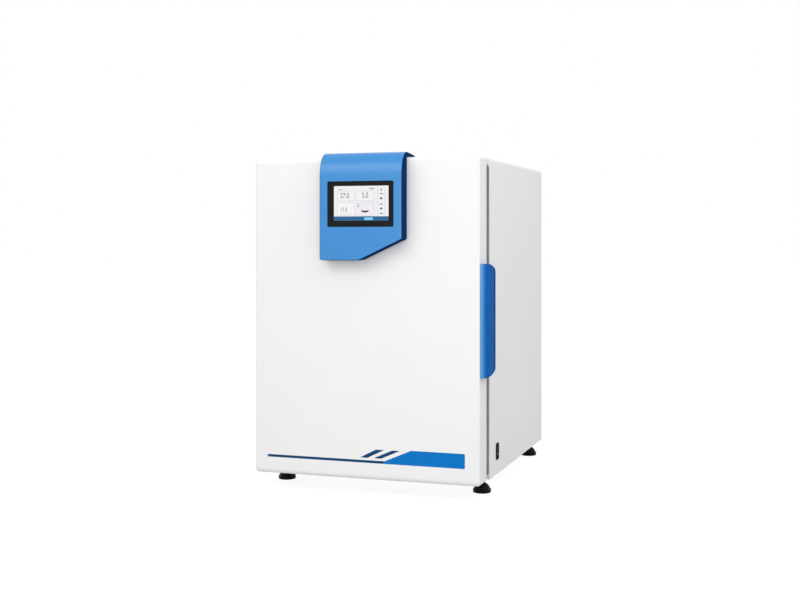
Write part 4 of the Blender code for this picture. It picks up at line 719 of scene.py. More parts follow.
def door_stripe():
    """Printed line that grows into a block with a slanted end, and two slanted bars before it."""
    def on_door(points):
        return [(MID + x, BASE + z) for x, z in points]

    low, line, top = 0.0430, 0.0498, 0.0808
    slope_low, slope_line, slope_top = 0.0520, 0.0560, 0.1275
    bar_low, bar_top = 0.0560, 0.0785
    corner = 0.003
    start, end = -0.2724, 0.2700 - corner
    block_start = MID + 0.112
    outlines = [
        on_door([(slope_low, low), *arc(end, low + corner, corner, 270, 360, 6),
                 *arc(end, top - corner, corner, 0, 90, 6), (slope_top, top), (slope_line, line)]),
        on_door([(start, low), (slope_low, low), (slope_line, line), (start, line)]),
    ]
    for low_left, low_right, top_right, top_left in (
            (-0.0115, 0.0091, 0.0548, 0.0327), (0.0264, 0.0469, 0.0974, 0.0765)):
        outlines.append(on_door([
            (low_left, bar_low), (low_right, bar_low), (top_right, bar_top), (top_left, bar_top)]))
    front, sunk = DOOR_FRONT - sizes().print_thickness, DOOR_FRONT + 0.0002
    shape = faced(merged([prism("Y", outline, front, sunk) for outline in outlines]),
                  lambda normal, middle: 0 if middle.x > block_start else 1)
    inks = [printed("stripe_ink", colours().stripe_ink), printed("dark_ink", colours().line_ink)]
    piece("door_stripe", shape, inks, "outer_door", edge=0)


def door_seal():
    """Rubber bellows round the back of the door."""
    low, high = corners("door_seal")
    start, end = low.y, high.y
    waist = (start + end) / 2
    radius, overlap, pinch, width = 0.012, 0.001, 0.0025, 0.014

    def ring(inset, corner=radius):
        margin = overlap - inset
        return rectangle(low.x - margin, high.x + margin, low.z - margin, high.z + margin, corner, 6)

    outer = [(0.001, start)]
    outer += [(0.001 + pinch * math.sin(math.pi * share), waist - 0.0022 + 0.0044 * share)
              for share in shares_of(8)]
    outer += [(0.001, end - 0.001), (0.0013, end - 0.0003), (0.002, end)]
    inner = [(width - 0.001, end), (width - 0.0003, end - 0.0003), (width, end - 0.001), (width, start)]
    sections = [(ring(inset), y) for inset, y in outer]
    sections += [(ring(inset, radius - 0.006), y) for inset, y in inner]
    stands_for("door_seal", loft("Y", sections, ring=True), dark_rubber(), edge=0, angle=50)


def grip():
    """Curved plate on the door's right edge, with closed ends and a finger pocket behind."""
    low, high = corners("door_grip")
    proud = high.x - RIGHT
    x, tip = low.x, high.y
    lip, root, before = DOOR_FRONT + 0.0035, DOOR_FRONT + 0.036, DOOR_FRONT - 0.01
    wall, clear, end = 0.004, 0.0001, 0.012
    nose = proud * 0.62
    outline = [(x, root), (x, lip)]
    outline += arc(x, lip + nose, nose, -88, -4, 16)
    outline += [(high.x - 0.0008, tip - 0.010), (high.x, tip - 0.003), (high.x - 0.0003, tip - 0.001),
                (high.x - 0.001, tip), (x, tip)]
    sweep = [(tip - 0.060 * (1 - along), 0.024 * (1 - up)) for along, up in arc(0, 0, 1, 90, 0, ARC_STEPS)]
    profile = [(before, low.z + clear)]
    profile += [(place, low.z + clear + height) for place, height in sweep]
    profile += [(place, high.z - clear - height) for place, height in reversed(sweep)]
    profile += [(before, high.z - clear)]
    shape = carved(prism("Z", outline, low.z, high.z), prism("X", profile, RIGHT - 0.01, RIGHT + 2 * proud),
                   "INTERSECT")
    pocket = [(RIGHT - 0.01, root), (RIGHT + nose - wall, root), (high.x - wall - 0.0015, tip + 0.02),
              (RIGHT - 0.01, tip + 0.02)]
    shape = carved(shape, prism("Z", pocket, low.z + wall + end, high.z - wall - end))

    # painted shade: faces turned from the front get darker copies of the blue in steps, the free lip the darkest
    def finish(normal, middle):
        if middle.y > tip - end:
            return 3
        if normal.y < -0.80:
            return 0
        return 1 if normal.y < -0.42 else 2

    finishes = [blue_plastic(), nose_painted_half_shade(), grip_painted_shade(), edge_painted_shade()]
    stands_for("door_grip", faced(shape, finish), finishes, edge=0.0008, angle=45)


# Control panel and display

def panel_shell():
    """Blue housing that rolls over the top of the door, cut at a slope at the lower right."""
    low, high = corners("panel_housing")
    front, hook = low.y, high.y
    crest, bottom = high.z, low.z
    bend, roll, drop, tuck = 0.0465, 0.070, 0.005, 0.003
    under = TOP + GAP
    end = hook - 0.004
    side = [(DOOR_FRONT - GAP, bottom - 0.01), (front, bottom - 0.01)]
    # a fuller curve than an ellipse, so that the roll starts gently just above the display
    fullness = 2 / 2.3
    side += [(front + bend * (1 - math.cos(turn) ** fullness), crest - roll * (1 - math.sin(turn) ** fullness))
             for turn in (math.pi / 2 * step / ARC_STEPS for step in range(ARC_STEPS))]
    side += [(front + bend, crest), (end, crest - drop)]
    side += arc(hook - tuck, crest - drop - tuck, tuck, 80, 0, 6)
    side += [(hook - 0.001, under + 0.001), (end, under), (DOOR_FRONT - GAP, under)]
    radius, wall = 0.006, 0.003
    slope_start, slope_end = low.x + 0.104, TOP - 0.2094
    above, ceiling = crest + 0.05, crest - bend - 0.001

    def outline(inset):
        left, right, foot = low.x + inset, high.x - inset, bottom + inset
        corner = max(radius - inset, 0.001)
        start = slope_start - inset * 0.3
        return arc(left + corner, foot + corner, corner, 180, 270) + [
            (start - 0.006, foot), (start - 0.001, foot + 0.0002), (start + 0.006, foot + 0.0015),
            (right, slope_end + inset * 0.9), (right, above), (left, above)]

    shape = prism("X", side, low.x, high.x)
    shape = carved(shape, prism("Y", outline(0.0), front - 0.02, hook + 0.02), "INTERSECT")
    shape = softened(shape, sizes().panel_edge_radius, 4, 42)
    hollow = [(x, min(z, ceiling)) for x, z in outline(wall)]
    shape = carved(shape, prism("Y", hollow, front + wall, DOOR_FRONT + 0.02))
    shape = carved(shape, prism("Y", bezel_outline(GAP), front - 0.01, front + wall + 0.01))

    # painted shade: side walls, underside and back get the darker blue, the front its own
    def finish(normal, middle):
        return 1 if normal.x > 0.5 or normal.x < -0.2 or normal.z < -0.3 or normal.y > 0.3 else 0

    stands_for("panel_housing", faced(shape, finish), [blue_plastic(), edge_painted_shade()], edge=0, angle=45)


def bezel_outline(margin):
    low, high = corners("display_bezel")
    return rectangle(low.x - margin, high.x + margin, low.z - margin, high.z + margin, 0.004)


SCREEN_RIM = 0.005
SCREEN_LOW, SCREEN_HIGH = corners("touch_screen")
SCREEN_LEFT, SCREEN_RIGHT = SCREEN_LOW.x + SCREEN_RIM, SCREEN_HIGH.x - SCREEN_RIM
SCREEN_BOTTOM, SCREEN_TOP = SCREEN_LOW.z + SCREEN_RIM, SCREEN_HIGH.z - SCREEN_RIM
SCREEN_WIDTH, SCREEN_HEIGHT = SCREEN_RIGHT - SCREEN_LEFT, SCREEN_TOP - SCREEN_BOTTOM
SCREEN_FACE = SCREEN_LOW.y
SCREEN_LAYER = 0.00004


def screen_outline(margin):
    return rectangle(SCREEN_LEFT - margin, SCREEN_RIGHT + margin, SCREEN_BOTTOM - margin, SCREEN_TOP + margin,
                     0.0015)


def bezel():
    """Frame of the screen, with a rounded front and a narrow chamfer round its window."""
    low, high = corners("display_bezel")
    face, back = low.y, high.y
    round_off = 0.0009
    sections = [(bezel_outline(0.0), back)]
    sections += [(bezel_outline(-round_off * (1 - math.sin(turn))), face + round_off * (1 - math.cos(turn)))
                 for turn in reversed(quarter(6))]
    sections += [(screen_outline(margin), place)
                 for margin, place in ((0.0008, face), (0.0, face + 0.0004), (0.0, back))]
    stands_for("display_bezel", loft("Y", sections, ring=True), bezel_gloss(), edge=0, angle=50)


def touch_screen():
    """Lit glass that fills the bezel's window, on a smaller carrier."""
    back = SCREEN_HIGH.y
    step = back - 0.008
    sections = [(screen_outline(-GAP), SCREEN_FACE), (screen_outline(-GAP), step),
                (screen_outline(SCREEN_RIM), step), (screen_outline(SCREEN_RIM), back)]
    stands_for("touch_screen", loft("Y", sections), lit("screen_light", colours().screen_light), edge=0)


def on_screen(u, v):
    """A place on the screen: u to the right and v down, as shares of its width and height."""
    return SCREEN_LEFT + u * SCREEN_WIDTH, SCREEN_TOP - v * SCREEN_HEIGHT


def screen_shape(outline, level=2):
    """A flat shape on the screen, this many layers proud of it."""
    return prism("Y", outline, SCREEN_FACE - SCREEN_LAYER * level, SCREEN_FACE + 0.0001)


def screen_patch(u0, u1, v0, v1, level=1, radius=0.0):
    """A rectangle on the screen."""
    (left, top), (right, bottom) = on_screen(u0, v0), on_screen(u1, v1)
    return screen_shape(rectangle(left, right, bottom, top, radius, 4), level)


def patches(places, level=1):
    return [screen_patch(*place, level) for place in places]


def figures(text, u, v, height):
    """Narrow digits on the screen, their left end at u and their foot at v."""
    digit_height, narrow, level = 0.72, 0.72, 2
    curve = bpy.data.curves.new("figures", "FONT")
    curve.body = text
    curve.size = height * SCREEN_HEIGHT / digit_height
    curve.extrude = 0.00002
    shape = settled(linked("figures", curve))
    x, z = on_screen(u, v)
    for vert in shape.verts:
        across, up, out = vert.co
        vert.co = (x + across * narrow, SCREEN_FACE - SCREEN_LAYER * level - out, z + up)
    bmesh.ops.recalc_face_normals(shape, faces=shape.faces)
    return shape


def screen_frame(u0, u1, v0, v1):
    """Thin border of a tile."""
    line = 0.0045
    rise = line * SCREEN_WIDTH / SCREEN_HEIGHT
    return patches(((u0, u1, v0, v0 + rise), (u0, u1, v1 - rise, v1), (u0, u0 + line, v0 + rise, v1 - rise),
                    (u1 - line, u1, v0 + rise, v1 - rise)), 2)


def icon(u, v, size):
    """Small eight-pointed mark for a button."""
    ratio = SCREEN_WIDTH / SCREEN_HEIGHT
    points = []
    for k in range(16):
        reach = size * (1.0 if k % 2 else 0.72)
        turn = 2 * math.pi * k / 16
        points.append(on_screen(u + reach * math.cos(turn), v + reach * ratio * math.sin(turn)))
    return screen_shape(points)


def readouts():
    """What the screen shows: tiles with readings, a column of buttons and a bar."""
    rows, columns = ((0.145, 0.430), (0.475, 0.845)), ((0.060, 0.375), (0.405, 0.740))
    tiles = [(*column, *row) for row in rows for column in columns]
    bowl = [on_screen(u, v) for u, v in (
        (0.505, 0.685), (0.545, 0.715), (0.600, 0.715), (0.640, 0.685), (0.632, 0.745), (0.600, 0.765),
        (0.545, 0.765), (0.513, 0.745))]
    lines = patches(((0.802, 0.807, 0.05, 0.86), (0.930, 0.934, 0.05, 0.86)), 2)
    for tile in tiles:
        lines += screen_frame(*tile)
    layers = {
        "screen_tiles": ((0.90, 0.90, 0.89), patches(tiles[:3])),
        "screen_warm_tile": ((0.89, 0.82, 0.88), patches(tiles[3:])),
        "screen_lines": ((0.42, 0.48, 0.54), lines),
        "screen_figures": ((0.055, 0.095, 0.125), [
            figures("37.0", 0.115, 0.355, 0.165), figures("5.0", 0.515, 0.345, 0.160),
            figures("11.0", 0.120, 0.735, 0.125)]),
        "screen_small_marks": ((0.10, 0.14, 0.18), patches((
            (0.302, 0.322, 0.300, 0.322), (0.650, 0.670, 0.295, 0.317), (0.288, 0.306, 0.708, 0.728),
            (0.125, 0.200, 0.790, 0.806), (0.215, 0.330, 0.790, 0.806), (0.085, 0.160, 0.095, 0.112),
            (0.430, 0.470, 0.520, 0.545), (0.430, 0.470, 0.580, 0.605), (0.650, 0.740, 0.075, 0.095)))),
        "screen_bar": (colours().screen_bar, [screen_patch(0.0, 1.0, 0.875, 1.0)]),
        "screen_bar_mark": ((0.22, 0.66, 0.88), [screen_patch(0.560, 0.715, 0.910, 0.980, 3, 0.0008)]),
        "screen_icons": ((0.012, 0.014, 0.018), [
            icon(0.868, 0.115, 0.016), icon(0.868, 0.365, 0.023), icon(0.868, 0.655, 0.023),
            *patches([(0.838, 0.900, top, top + 0.021) for top in (0.222, 0.517, 0.787)]), screen_shape(bowl)]),
    }
    for name, (colour, shapes) in layers.items():
        piece(name, merged(shapes), lit(f"{name}_light", colour), "outer_door", edge=0)


# Cabinet

def casing():
    """Painted wrap of both sides and the top, with a lip folded in round the front."""
    radius, chamfer, lip, through = 0.008, 0.0012, 0.024, 0.01

    def wrap(inset):
        points = [(LEFT + inset, BASE)]
        points += arc(LEFT + radius, TOP - radius, radius - inset, 180, 90)
        points += arc(RIGHT - radius, TOP - radius, radius - inset, 90, 0)
        points += [(RIGHT - inset, BASE), (RIGHT - SHEET, BASE)]
        points += arc(RIGHT - radius, TOP - radius, radius - SHEET, 0, 90)
        points += arc(LEFT + radius, TOP - radius, radius - SHEET, 90, 180)
        return points + [(LEFT + SHEET, BASE)]

    shape = loft("Y", [(wrap(chamfer), FACE), (wrap(chamfer * 0.3), FACE + chamfer * 0.3),
                       (wrap(0.0), FACE + chamfer), (wrap(0.0), BACK)])
    half = SHEET / 2
    ring = loft("Y", [
        (body_outline(half, radius - half), FACE), (body_outline(half, radius - half), FACE + SHEET),
        (body_outline(lip, radius), FACE + SHEET), (body_outline(lip, radius), FACE)], ring=True)
    low, high = corners("switch_frame")
    rim = 0.0035 - GAP
    opening = block(RIGHT - through, RIGHT + through, low.y + rim, high.y - rim, low.z + rim, high.z - rim)
    shape = carved(carved(shape, ring, "UNION"), opening)
    stands_for("outer_casing", shape, white_paint(), edge=0.0003, angle=45)


def chamber_shell():
    """Stainless chamber with coved corners and a flange round its mouth."""
    low, high = corners("chamber")
    flange, wall, radius, through = 0.030, 0.0012, 0.015, 0.01
    port_radius, shaft_radius = 0.0238, 0.008
    left, right, floor, ceiling = low.x + flange, high.x - flange, low.z + flange, high.z - flange
    back = high.y - wall

    def outline(margin, corner):
        return rectangle(left - margin, right + margin, floor - margin, ceiling + margin, corner, 8)

    cove = [(math.sin(turn), 1 - math.cos(turn)) for turn in quarter(8)]
    outer = radius + wall
    sections = [(outline(-radius * across, radius * (1.001 - across) + 0.0005), back - radius * (1 - along))
                for along, across in reversed(cove)]
    sections += [(outline(0.0, radius), FACE), (outline(flange, 0.008), FACE),
                 (outline(flange, 0.008), FACE + wall), (outline(wall, outer), FACE + wall)]
    sections += [(outline(wall - outer * across, outer * (1.001 - across) + 0.0005),
                  back + wall - outer * (1 - along)) for along, across in cove]
    holes = merged([turned("Y", spans(node)[2], [(hole, back - through), (hole, back + through)])
                    for node, hole in (("access_port_sleeve", port_radius), ("fan_impeller", shaft_radius))])
    stands_for("chamber", carved(loft("Y", sections), holes), brushed_stainless(), edge=0, angle=50)


def humidity_pan():
    """Tray with a turned-out rim, tapered sides and a rounded foot."""
    low, high = corners("humidity_pan")
    rim, taper, foot, wall, radius = 0.010, 0.006, 0.004, 0.0015, 0.030

    def outline(inset, corner):
        return rectangle(low.x + inset, high.x - inset, low.y + inset, high.y - inset, corner, 12)

    sections = [
        (outline(rim + taper + foot, radius - foot), low.z),
        (outline(rim + taper + foot * 0.3, radius - foot * 0.3), low.z + foot * 0.3),
        (outline(rim + taper, radius), low.z + foot),
        (outline(rim, radius), high.z - wall),
        (outline(0.0, radius + rim), high.z - wall),
        (outline(0.0, radius + rim), high.z),
        (outline(rim + wall, radius - wall), high.z),
        (outline(rim + taper + wall, radius - wall), low.z + foot + wall),
        (outline(rim + taper + foot * 0.3 + wall, radius - foot * 0.3 - wall), low.z + foot * 0.3 + wall),
        (outline(rim + taper + foot + wall, radius - foot - wall), low.z + wall),
    ]
    stands_for("humidity_pan", loft("Z", sections), brushed_stainless(), edge=0.0003, angle=45)


# Screws and other small fasteners

def screw_head(x, z, seat, out=1, radius=0.0032):
    """Button head with a hexagonal recess; out is the direction along Y in which it stands, 1 or -1."""
    height = radius * 0.75
    rounded = [(radius * share, seat + out * height * rise)
               for share, rise in ((1, 0), (1, 0.35), (0.93, 0.62), (0.78, 0.85), (0.60, 1))]
    recess = prism("Y", circle(x, z, radius * 0.5, 6), seat + out * height * 0.3, seat + out * height * 1.5)
    return carved(turned("Y", (x, 0, z), rounded, 32), recess)


def screws(name, body, heads):
    piece(name, merged(heads), zinc_plate(), body, edge=0.0001)


# Turned pieces

def levelling_foot(name):
    """Wide ridged pad with a domed top, and a threaded stem."""
    node = f"levelling_foot_{name}"
    _, high, middle = spans(node)
    radius = high.x - middle.x
    groove = radius - 0.0006
    rim, dome = 0.009, 0.0255
    profile = [(radius - 0.0020, 0.0), (groove, 0.0006), (radius, 0.0020)]
    profile += ridges(3, 0.0026, 0.0020, [(radius, 0.0), (groove, 0.0005), (groove, 0.0011), (radius, 0.0016)])
    profile += [(radius, rim), (radius - 0.0008, rim + 0.0012), (radius - 0.0030, rim + 0.0022)]
    profile += [(radius * (0.86 - 0.50 * share ** 1.9), rim + 0.003 + (dome - rim - 0.003) * share)
                for share in shares_of(8)]
    profile += [(0.0070, dome + 0.0007), (0.0052, dome + 0.0008), (0.0052, dome - 0.001)]
    stands_for(node, turned("Z", middle, profile), foot_black(), edge=0.0003, angle=40)
    stem_radius, pitch = 0.005, 0.0012
    thread = [(stem_radius - 0.0008, dome - 0.001)]
    z = dome
    while z < high.z - pitch:
        thread += [(stem_radius - 0.0006, z), (stem_radius, z + pitch * 0.5)]
        z += pitch
    thread += [(stem_radius - 0.0012, high.z)]
    stem = turned("Z", middle, thread, 32)
    piece(f"foot_stem_{name}", stem, zinc_plate(), f"foot_{name}", edge=0)


def switch_rocker():
    """Rocker with the marks for on and off on its two halves."""
    shape = clean_copy("switch_rocker")
    outward = [face for face in shape.faces if face.normal.x > 0.9]
    halves = sorted(outward, key=lambda face: face.calc_center_median().z)
    reach, sunk = 0.0024, -0.0002
    bar = block(-0.0004, 0.0004, -reach, reach, sunk, 0.0)
    ring = turned("Z", (0, 0, 0), [(reach, sunk), (reach, 0.0), (reach * 0.68, 0.0), (reach * 0.68, sunk)], 32,
                  ring=True)
    across = Vector((0, 1, 0))
    marks = [placed(mark, half.calc_center_median() + half.normal * 0.0001, across, half.normal.cross(across))
             for half, mark in ((halves[-1], bar), (halves[0], ring))]
    stands_for("switch_rocker", shape, switch_black(), edge=0.0006, angle=20)
    piece("rocker_marks", merged(marks), white_marking(), "power_rocker", edge=0)


# Back of the cabinet

def wall_spacer(side):
    """Buffer with a tapered, rounded nose and a sunk screw."""
    node = f"wall_spacer_{side}"
    low, high, middle = spans(node)
    radius, flange, nose, sunk = 0.008, 0.0055, 0.003, high.y - 0.006
    taper_across, taper_up, nose_radius = 0.0085, 0.0105, 0.0065

    def outline(across, up, corner):
        return rectangle(low.x + across, high.x - across, low.z + up, high.z - up, corner, 8)

    sections = [(outline(0.0, 0.0, radius), low.y), (outline(0.0, 0.0, radius), low.y + flange)]
    for turn in quarter(6):
        inset = nose * 0.6 * (1 - math.cos(turn))
        sections.append((outline(taper_across + inset, taper_up + inset, nose_radius - inset),
                         high.y - nose + nose * math.sin(turn)))
    well = turned("Y", middle, [(0.0048, sunk), (0.0048, high.y + 0.01)], 32)
    stands_for(node, carved(loft("Y", sections), well), black_plastic(), edge=0.0003, angle=30)
    screws(f"spacer_screw_{side}", "cabinet", [screw_head(middle.x, middle.z, sunk, 1, 0.0040)])


def inlet_pins():
    """Three flat pins in the well of the mains inlet."""
    low, _, well = spans("mains_inlet")
    back = low.y + 0.024
    root, tip = back - 0.0158, back - 0.0019
    half_width, half_height = 0.0011, 0.0021
    pins = [block(well.x + across - half_width, well.x + across + half_width, root, tip,
                  well.z + up - half_height, well.z + up + half_height)
            for across, up in ((-0.007, -0.002), (0.0, 0.003), (0.007, -0.002))]
    piece("inlet_pins", merged(pins), zinc_plate(), "cabinet", edge=0.0003)


def data_contacts():
    """Eight spring contacts in the data socket."""
    low, high, socket = spans("data_port")
    half = 0.0003
    places = [socket.x + (high.x - low.x) * 0.5 * (share - 0.5) for share in shares_of(7)]
    contacts = [block(x - half, x + half, high.y - 0.0125, high.y - 0.0045, low.z + 0.0062, low.z + 0.0082)
                for x in places]
    piece("data_contacts", merged(contacts), zinc_plate(), "cabinet", edge=0)


def gas_inlet():
    """Barbed hose tail on a hexagon, with a collar."""
    low, high, middle = spans("gas_inlet")
    flange = high.x - middle.x
    barb = flange / 2
    bore, collar, valley = barb * 0.45, barb * 1.05, barb * 0.85
    wall = low.y + 0.012
    profile = [(bore, low.y), (barb, low.y), (barb, wall + GAP), (collar, wall + GAP), (collar, wall + 0.0052)]
    profile += ridges(3, wall + 0.006, 0.0045, [
        (valley, -0.0002), (barb * 1.12, 0.0), (barb * 1.15, 0.0004), (valley, 0.0043)])
    profile += [(barb * 0.8, high.y), (bore, high.y)]
    washer = [(flange * share, wall + place)
              for share, place in ((0.60, 0.0045), (0.82, 0.0045), (0.82, 0.0056), (0.60, 0.0056))]
    whole = merged([turned("Y", middle, profile, 48, ring=True),
                    prism("Y", circle(middle.x, middle.z, flange, 6), wall + GAP, wall + 0.005),
                    turned("Y", middle, washer, 48, ring=True)])
    stands_for("gas_inlet", whole, zinc_plate(), edge=0.0001)


def access_port():
    """Silicone sleeve with its flange, and the ribbed stopper with a dished head."""
    low, high, middle = spans("access_port_sleeve")
    flange = high.x - middle.x
    inner, outer = flange - 0.0105, flange - 0.008
    wall, end = high.y - 0.0100 + GAP, high.y
    stands_for("access_port_sleeve", turned("Y", middle, [
        (inner, low.y), (outer, low.y), (outer, wall), (flange - 0.0006, wall), (flange, wall + 0.0006),
        (flange, wall + 0.0030), (flange - 0.0003, wall + 0.0037), (flange - 0.0010, wall + 0.0040),
        (outer + 0.0010, wall + 0.0044), (outer + 0.0002, wall + 0.0050), (outer, wall + 0.0060),
        (outer, end - 0.0006), (outer - 0.0004, end), (inner + 0.0004, end), (inner, end - 0.0006),
    ], ring=True), silicone(), edge=0, angle=50)
    low, high, middle = spans("port_stopper")
    head = high.x - middle.x
    stem = head - 0.0048
    seat, end = high.y - 0.010, high.y
    profile = [(stem - 0.0036, low.y), (stem - 0.0028, low.y + 0.0008), (stem - 0.0020, low.y + 0.003)]
    for rib in range(4):
        width = stem - 0.0016 + 0.0004 * rib
        valley = width - 0.0008
        profile += ridges(1, low.y + 0.006 + rib * 0.007, 0, [
            (valley, 0.0), (width, 0.0012), (width, 0.0030), (valley, 0.0042)])
    profile += [(stem, seat - 0.001), (stem, seat), (head - 0.0006, seat), (head, seat + 0.0006),
                (head, seat + 0.0062), (head - 0.0010, seat + 0.0084), (head - 0.0030, seat + 0.0098),
                (head - 0.0042, end), (head * 0.70, end), (head * 0.64, end - 0.0004),
                (head * 0.58, end - 0.0016), (head * 0.40, end - 0.0024), (head * 0.10, end - 0.0026)]
    stands_for("port_stopper", turned("Y", middle, profile), dark_rubber(), edge=0, angle=50)


def rear_screws():
    """Screws of the rear panel and of the service cover."""
    low, high = corners("rear_panel")
    inset, heights = 0.011, (0.26, 0.46, 0.66)
    left, right = low.x + inset, high.x - inset
    places = [(x, z) for x in (left, low.x * 0.5, MID, high.x * 0.5, right)
              for z in (low.z + inset, high.z - inset)]
    places += [(x, z) for z in heights for x in (left, right)]
    heads = [screw_head(x, z, high.y) for x, z in places]
    low, high = corners("service_cover")
    inset = 0.016
    heads += [screw_head(x, z, high.y) for x in (low.x + inset, high.x - inset)
              for z in (low.z + inset, (low.z + high.z) / 2, high.z - inset)]
    screws("rear_screws", "cabinet", heads)


# Inside the chamber

def air_filter():
    """Round cartridge: finely pleated paper between two moulded caps."""
    low, high, middle = spans("air_filter")
    radius = high.x - middle.x
    cap, eye, folds = 0.004, 0.046, 144
    pleats = star(middle.x, middle.z, radius - 0.003, radius - 0.003 - 0.008, folds)
    core = circle(middle.x, middle.z, eye + 0.002, folds)
    near, far = low.y + cap - 0.001, high.y - cap + 0.001
    paper = loft("Y", [(pleats, near), (pleats, far), (core, far), (core, near)], ring=True)
    stands_for("air_filter", paper, filter_paper(), edge=0)
    front = turned("Y", middle, [
        (radius * 0.16, low.y + 0.0010), (radius * 0.20, low.y + 0.0004), (radius * 0.62, low.y + 0.0004),
        (radius * 0.66, low.y + 0.0012), (radius * 0.80, low.y + 0.0012), (radius * 0.84, low.y),
        (radius - 0.0015, low.y), (radius - 0.0004, low.y + 0.0004), (radius, low.y + 0.0015),
        (radius, low.y + cap)], 96)
    collar = turned("Y", middle, [
        (eye, high.y - cap), (radius, high.y - cap), (radius, high.y - 0.0004), (radius - 0.0004, high.y),
        (eye, high.y)], 96, ring=True)
    piece("filter_caps", merged([front, collar]), silicone(), "cabinet", edge=0)


def sensors():
    """Gas sensor with a slotted cap, and the slim temperature probe."""
    low, high, middle = spans("gas_sensor")
    tip, root = low.y, high.y
    flange = high.x - middle.x
    body = flange - 0.006
    cap = body + 0.0015
    reach = root - tip
    profile = [(body - 0.0030, tip), (body - 0.0008, tip + 0.0008), (body + 0.0010, tip + 0.0026),
               (cap, tip + 0.004)]
    profile += ridges(4, tip + 0.006, 0.0035, [(cap, 0.0), (body, 0.0004), (body, 0.0014), (cap, 0.0018)])
    profile += [(cap, root - reach * 0.66), (body, root - reach * 0.62), (body, root - 0.006),
                (body + 0.0010, root - 0.0048), (flange - 0.001, root - 0.004), (flange, root - 0.003),
                (flange, root)]
    stands_for("gas_sensor", turned("Y", middle, profile), silicone(), edge=0, angle=40)
    low, high, middle = spans("temperature_probe")
    tip, root = low.y, high.y
    flange = high.x - middle.x
    rod = flange / 3.2
    turns = [math.radians(angle) for angle in (10, 30, 50, 70, 90)]
    profile = [(rod * math.sin(turn), tip + rod * (1 - math.cos(turn))) for turn in turns]
    profile += [(rod, root - 0.010), (rod * 1.6, root - 0.009), (rod * 1.7, root - 0.0074),
                (flange - 0.0006, root - 0.007), (flange, root - 0.0064), (flange, root)]
    stands_for("temperature_probe", turned("Y", middle, profile, 48), zinc_plate(), edge=0, angle=40)


def thumb_screw(x, z, seat):
    """Knurled screw that is undone by hand to take the duct out for cleaning."""
    knurl = prism("Y", star(x, z, 0.0057, 0.0062, 40), seat - 0.0055, seat - 0.0010)
    core = turned("Y", (x, 0, z), [(0.0048, seat), (0.0048, seat - 0.0010), (0.0055, seat - 0.0010),
                                   (0.0055, seat - 0.0060), (0.0046, seat - 0.0068)], 40)
    return merged([knurl, core])


def duct_screws():
    """Six thumb screws on the air duct."""
    low, high = corners("air_duct")
    across, up, between = 0.016, 0.018, 0.48
    heads = [thumb_screw(x, z, low.y)
             for x in (low.x + across, high.x - across) for z in (low.z + up, between, high.z - up)]
    piece("duct_screws", merged(heads), zinc_plate(), "cabinet", edge=0.0001)


def hinge_screws():
    """Screws in the leaves of the outer hinges and in the clamps on the glass."""
    for place in ("lower", "upper"):
        for node, name, body, inset, rise, from_front, depth, out in (
                ("hinge_cabinet_leaf", "hinge_cabinet_leaf_screws", "cabinet", 0.0040, 0.020, False, 0.0025, -1),
                ("hinge_door_leaf", "hinge_door_leaf_screws", "outer_door", 0.0040, 0.020, True, 0.0025, 1),
                ("inner_hinge_clamp", "inner_clamp_screws", "inner_door", 0.008, 0.010, True, 0.0008, -1)):
            low, high = corners(f"{node}_{place}")
            x, middle = high.x - inset, (low.z + high.z) / 2
            seat = low.y + depth if from_front else high.y - depth
            heads = [screw_head(x, middle + up, seat, out, 0.0026) for up in (-rise, rise)]
            screws(f"{name}_{place}", body, heads)


# Operators

class MakerOperator:
    """What the incubator's operators share"""
    bl_options = {"REGISTER", "UNDO"}


class INCUBATOR_OT_door(MakerOperator, bpy.types.Operator):
    """Make the outer door: painted shell, stripe, inner panel, insulation and seal"""
    bl_idname = "incubator.door"
    bl_label = "Outer Door"

    def execute(self, context):
        door_shell()
        door_stripe()
        door_seal()
        dressed("door_liner", brushed_stainless())
        coat("door_foam", foam_core())
        return {"FINISHED"}


class INCUBATOR_OT_grip(MakerOperator, bpy.types.Operator):
    """Make the grip on the door's right edge"""
    bl_idname = "incubator.grip"
    bl_label = "Grip"

    def execute(self, context):
        grip()
        return {"FINISHED"}


class INCUBATOR_OT_control_panel(MakerOperator, bpy.types.Operator):
    """Make the blue control panel housing and the board inside it"""
    bl_idname = "incubator.control_panel"
    bl_label = "Control Panel"

    def execute(self, context):
        panel_shell()
        coat("control_board", circuit_board())
        return {"FINISHED"}


class INCUBATOR_OT_display(MakerOperator, bpy.types.Operator):
    """Make the bezel, the lit touch screen and its readings"""
    bl_idname = "incubator.display"
    bl_label = "Display"

    def execute(self, context):
        bezel()
        touch_screen()
        readouts()
        return {"FINISHED"}


class INCUBATOR_OT_cabinet(MakerOperator, bpy.types.Operator):
    """Make the casing, its base tray, the front frame and the insulation"""
    bl_idname = "incubator.cabinet"
    bl_label = "Cabinet"

    def execute(self, context):
        casing()
        dressed("base_tray", zinc_plate())
        dressed("front_frame", grey_plastic())
        coat("insulation", foam_core())
        return {"FINISHED"}


class INCUBATOR_OT_chamber(MakerOperator, bpy.types.Operator):
    """Make the stainless chamber, its racks, shelves and humidity pan"""
    bl_idname = "incubator.chamber"
    bl_label = "Chamber"

    def execute(self, context):
        chamber_shell()
        for kind in ("rack_left", "rack_right", "lower", "middle", "upper"):
            dressed(f"shelf_{kind}", brushed_stainless(), edge=0.0002)
        humidity_pan()
        return {"FINISHED"}


class INCUBATOR_OT_air_system(MakerOperator, bpy.types.Operator):
    """Make the air duct, fan, motor, filter and sensors"""
    bl_idname = "incubator.air_system"
    bl_label = "Air System"

    def execute(self, context):
        dressed("air_duct", brushed_stainless(), edge=0.0003)
        dressed("fan_impeller", grey_plastic(), edge=0.0003)
        dressed("fan_motor", zinc_plate())
        air_filter()
        sensors()
        duct_screws()
        return {"FINISHED"}


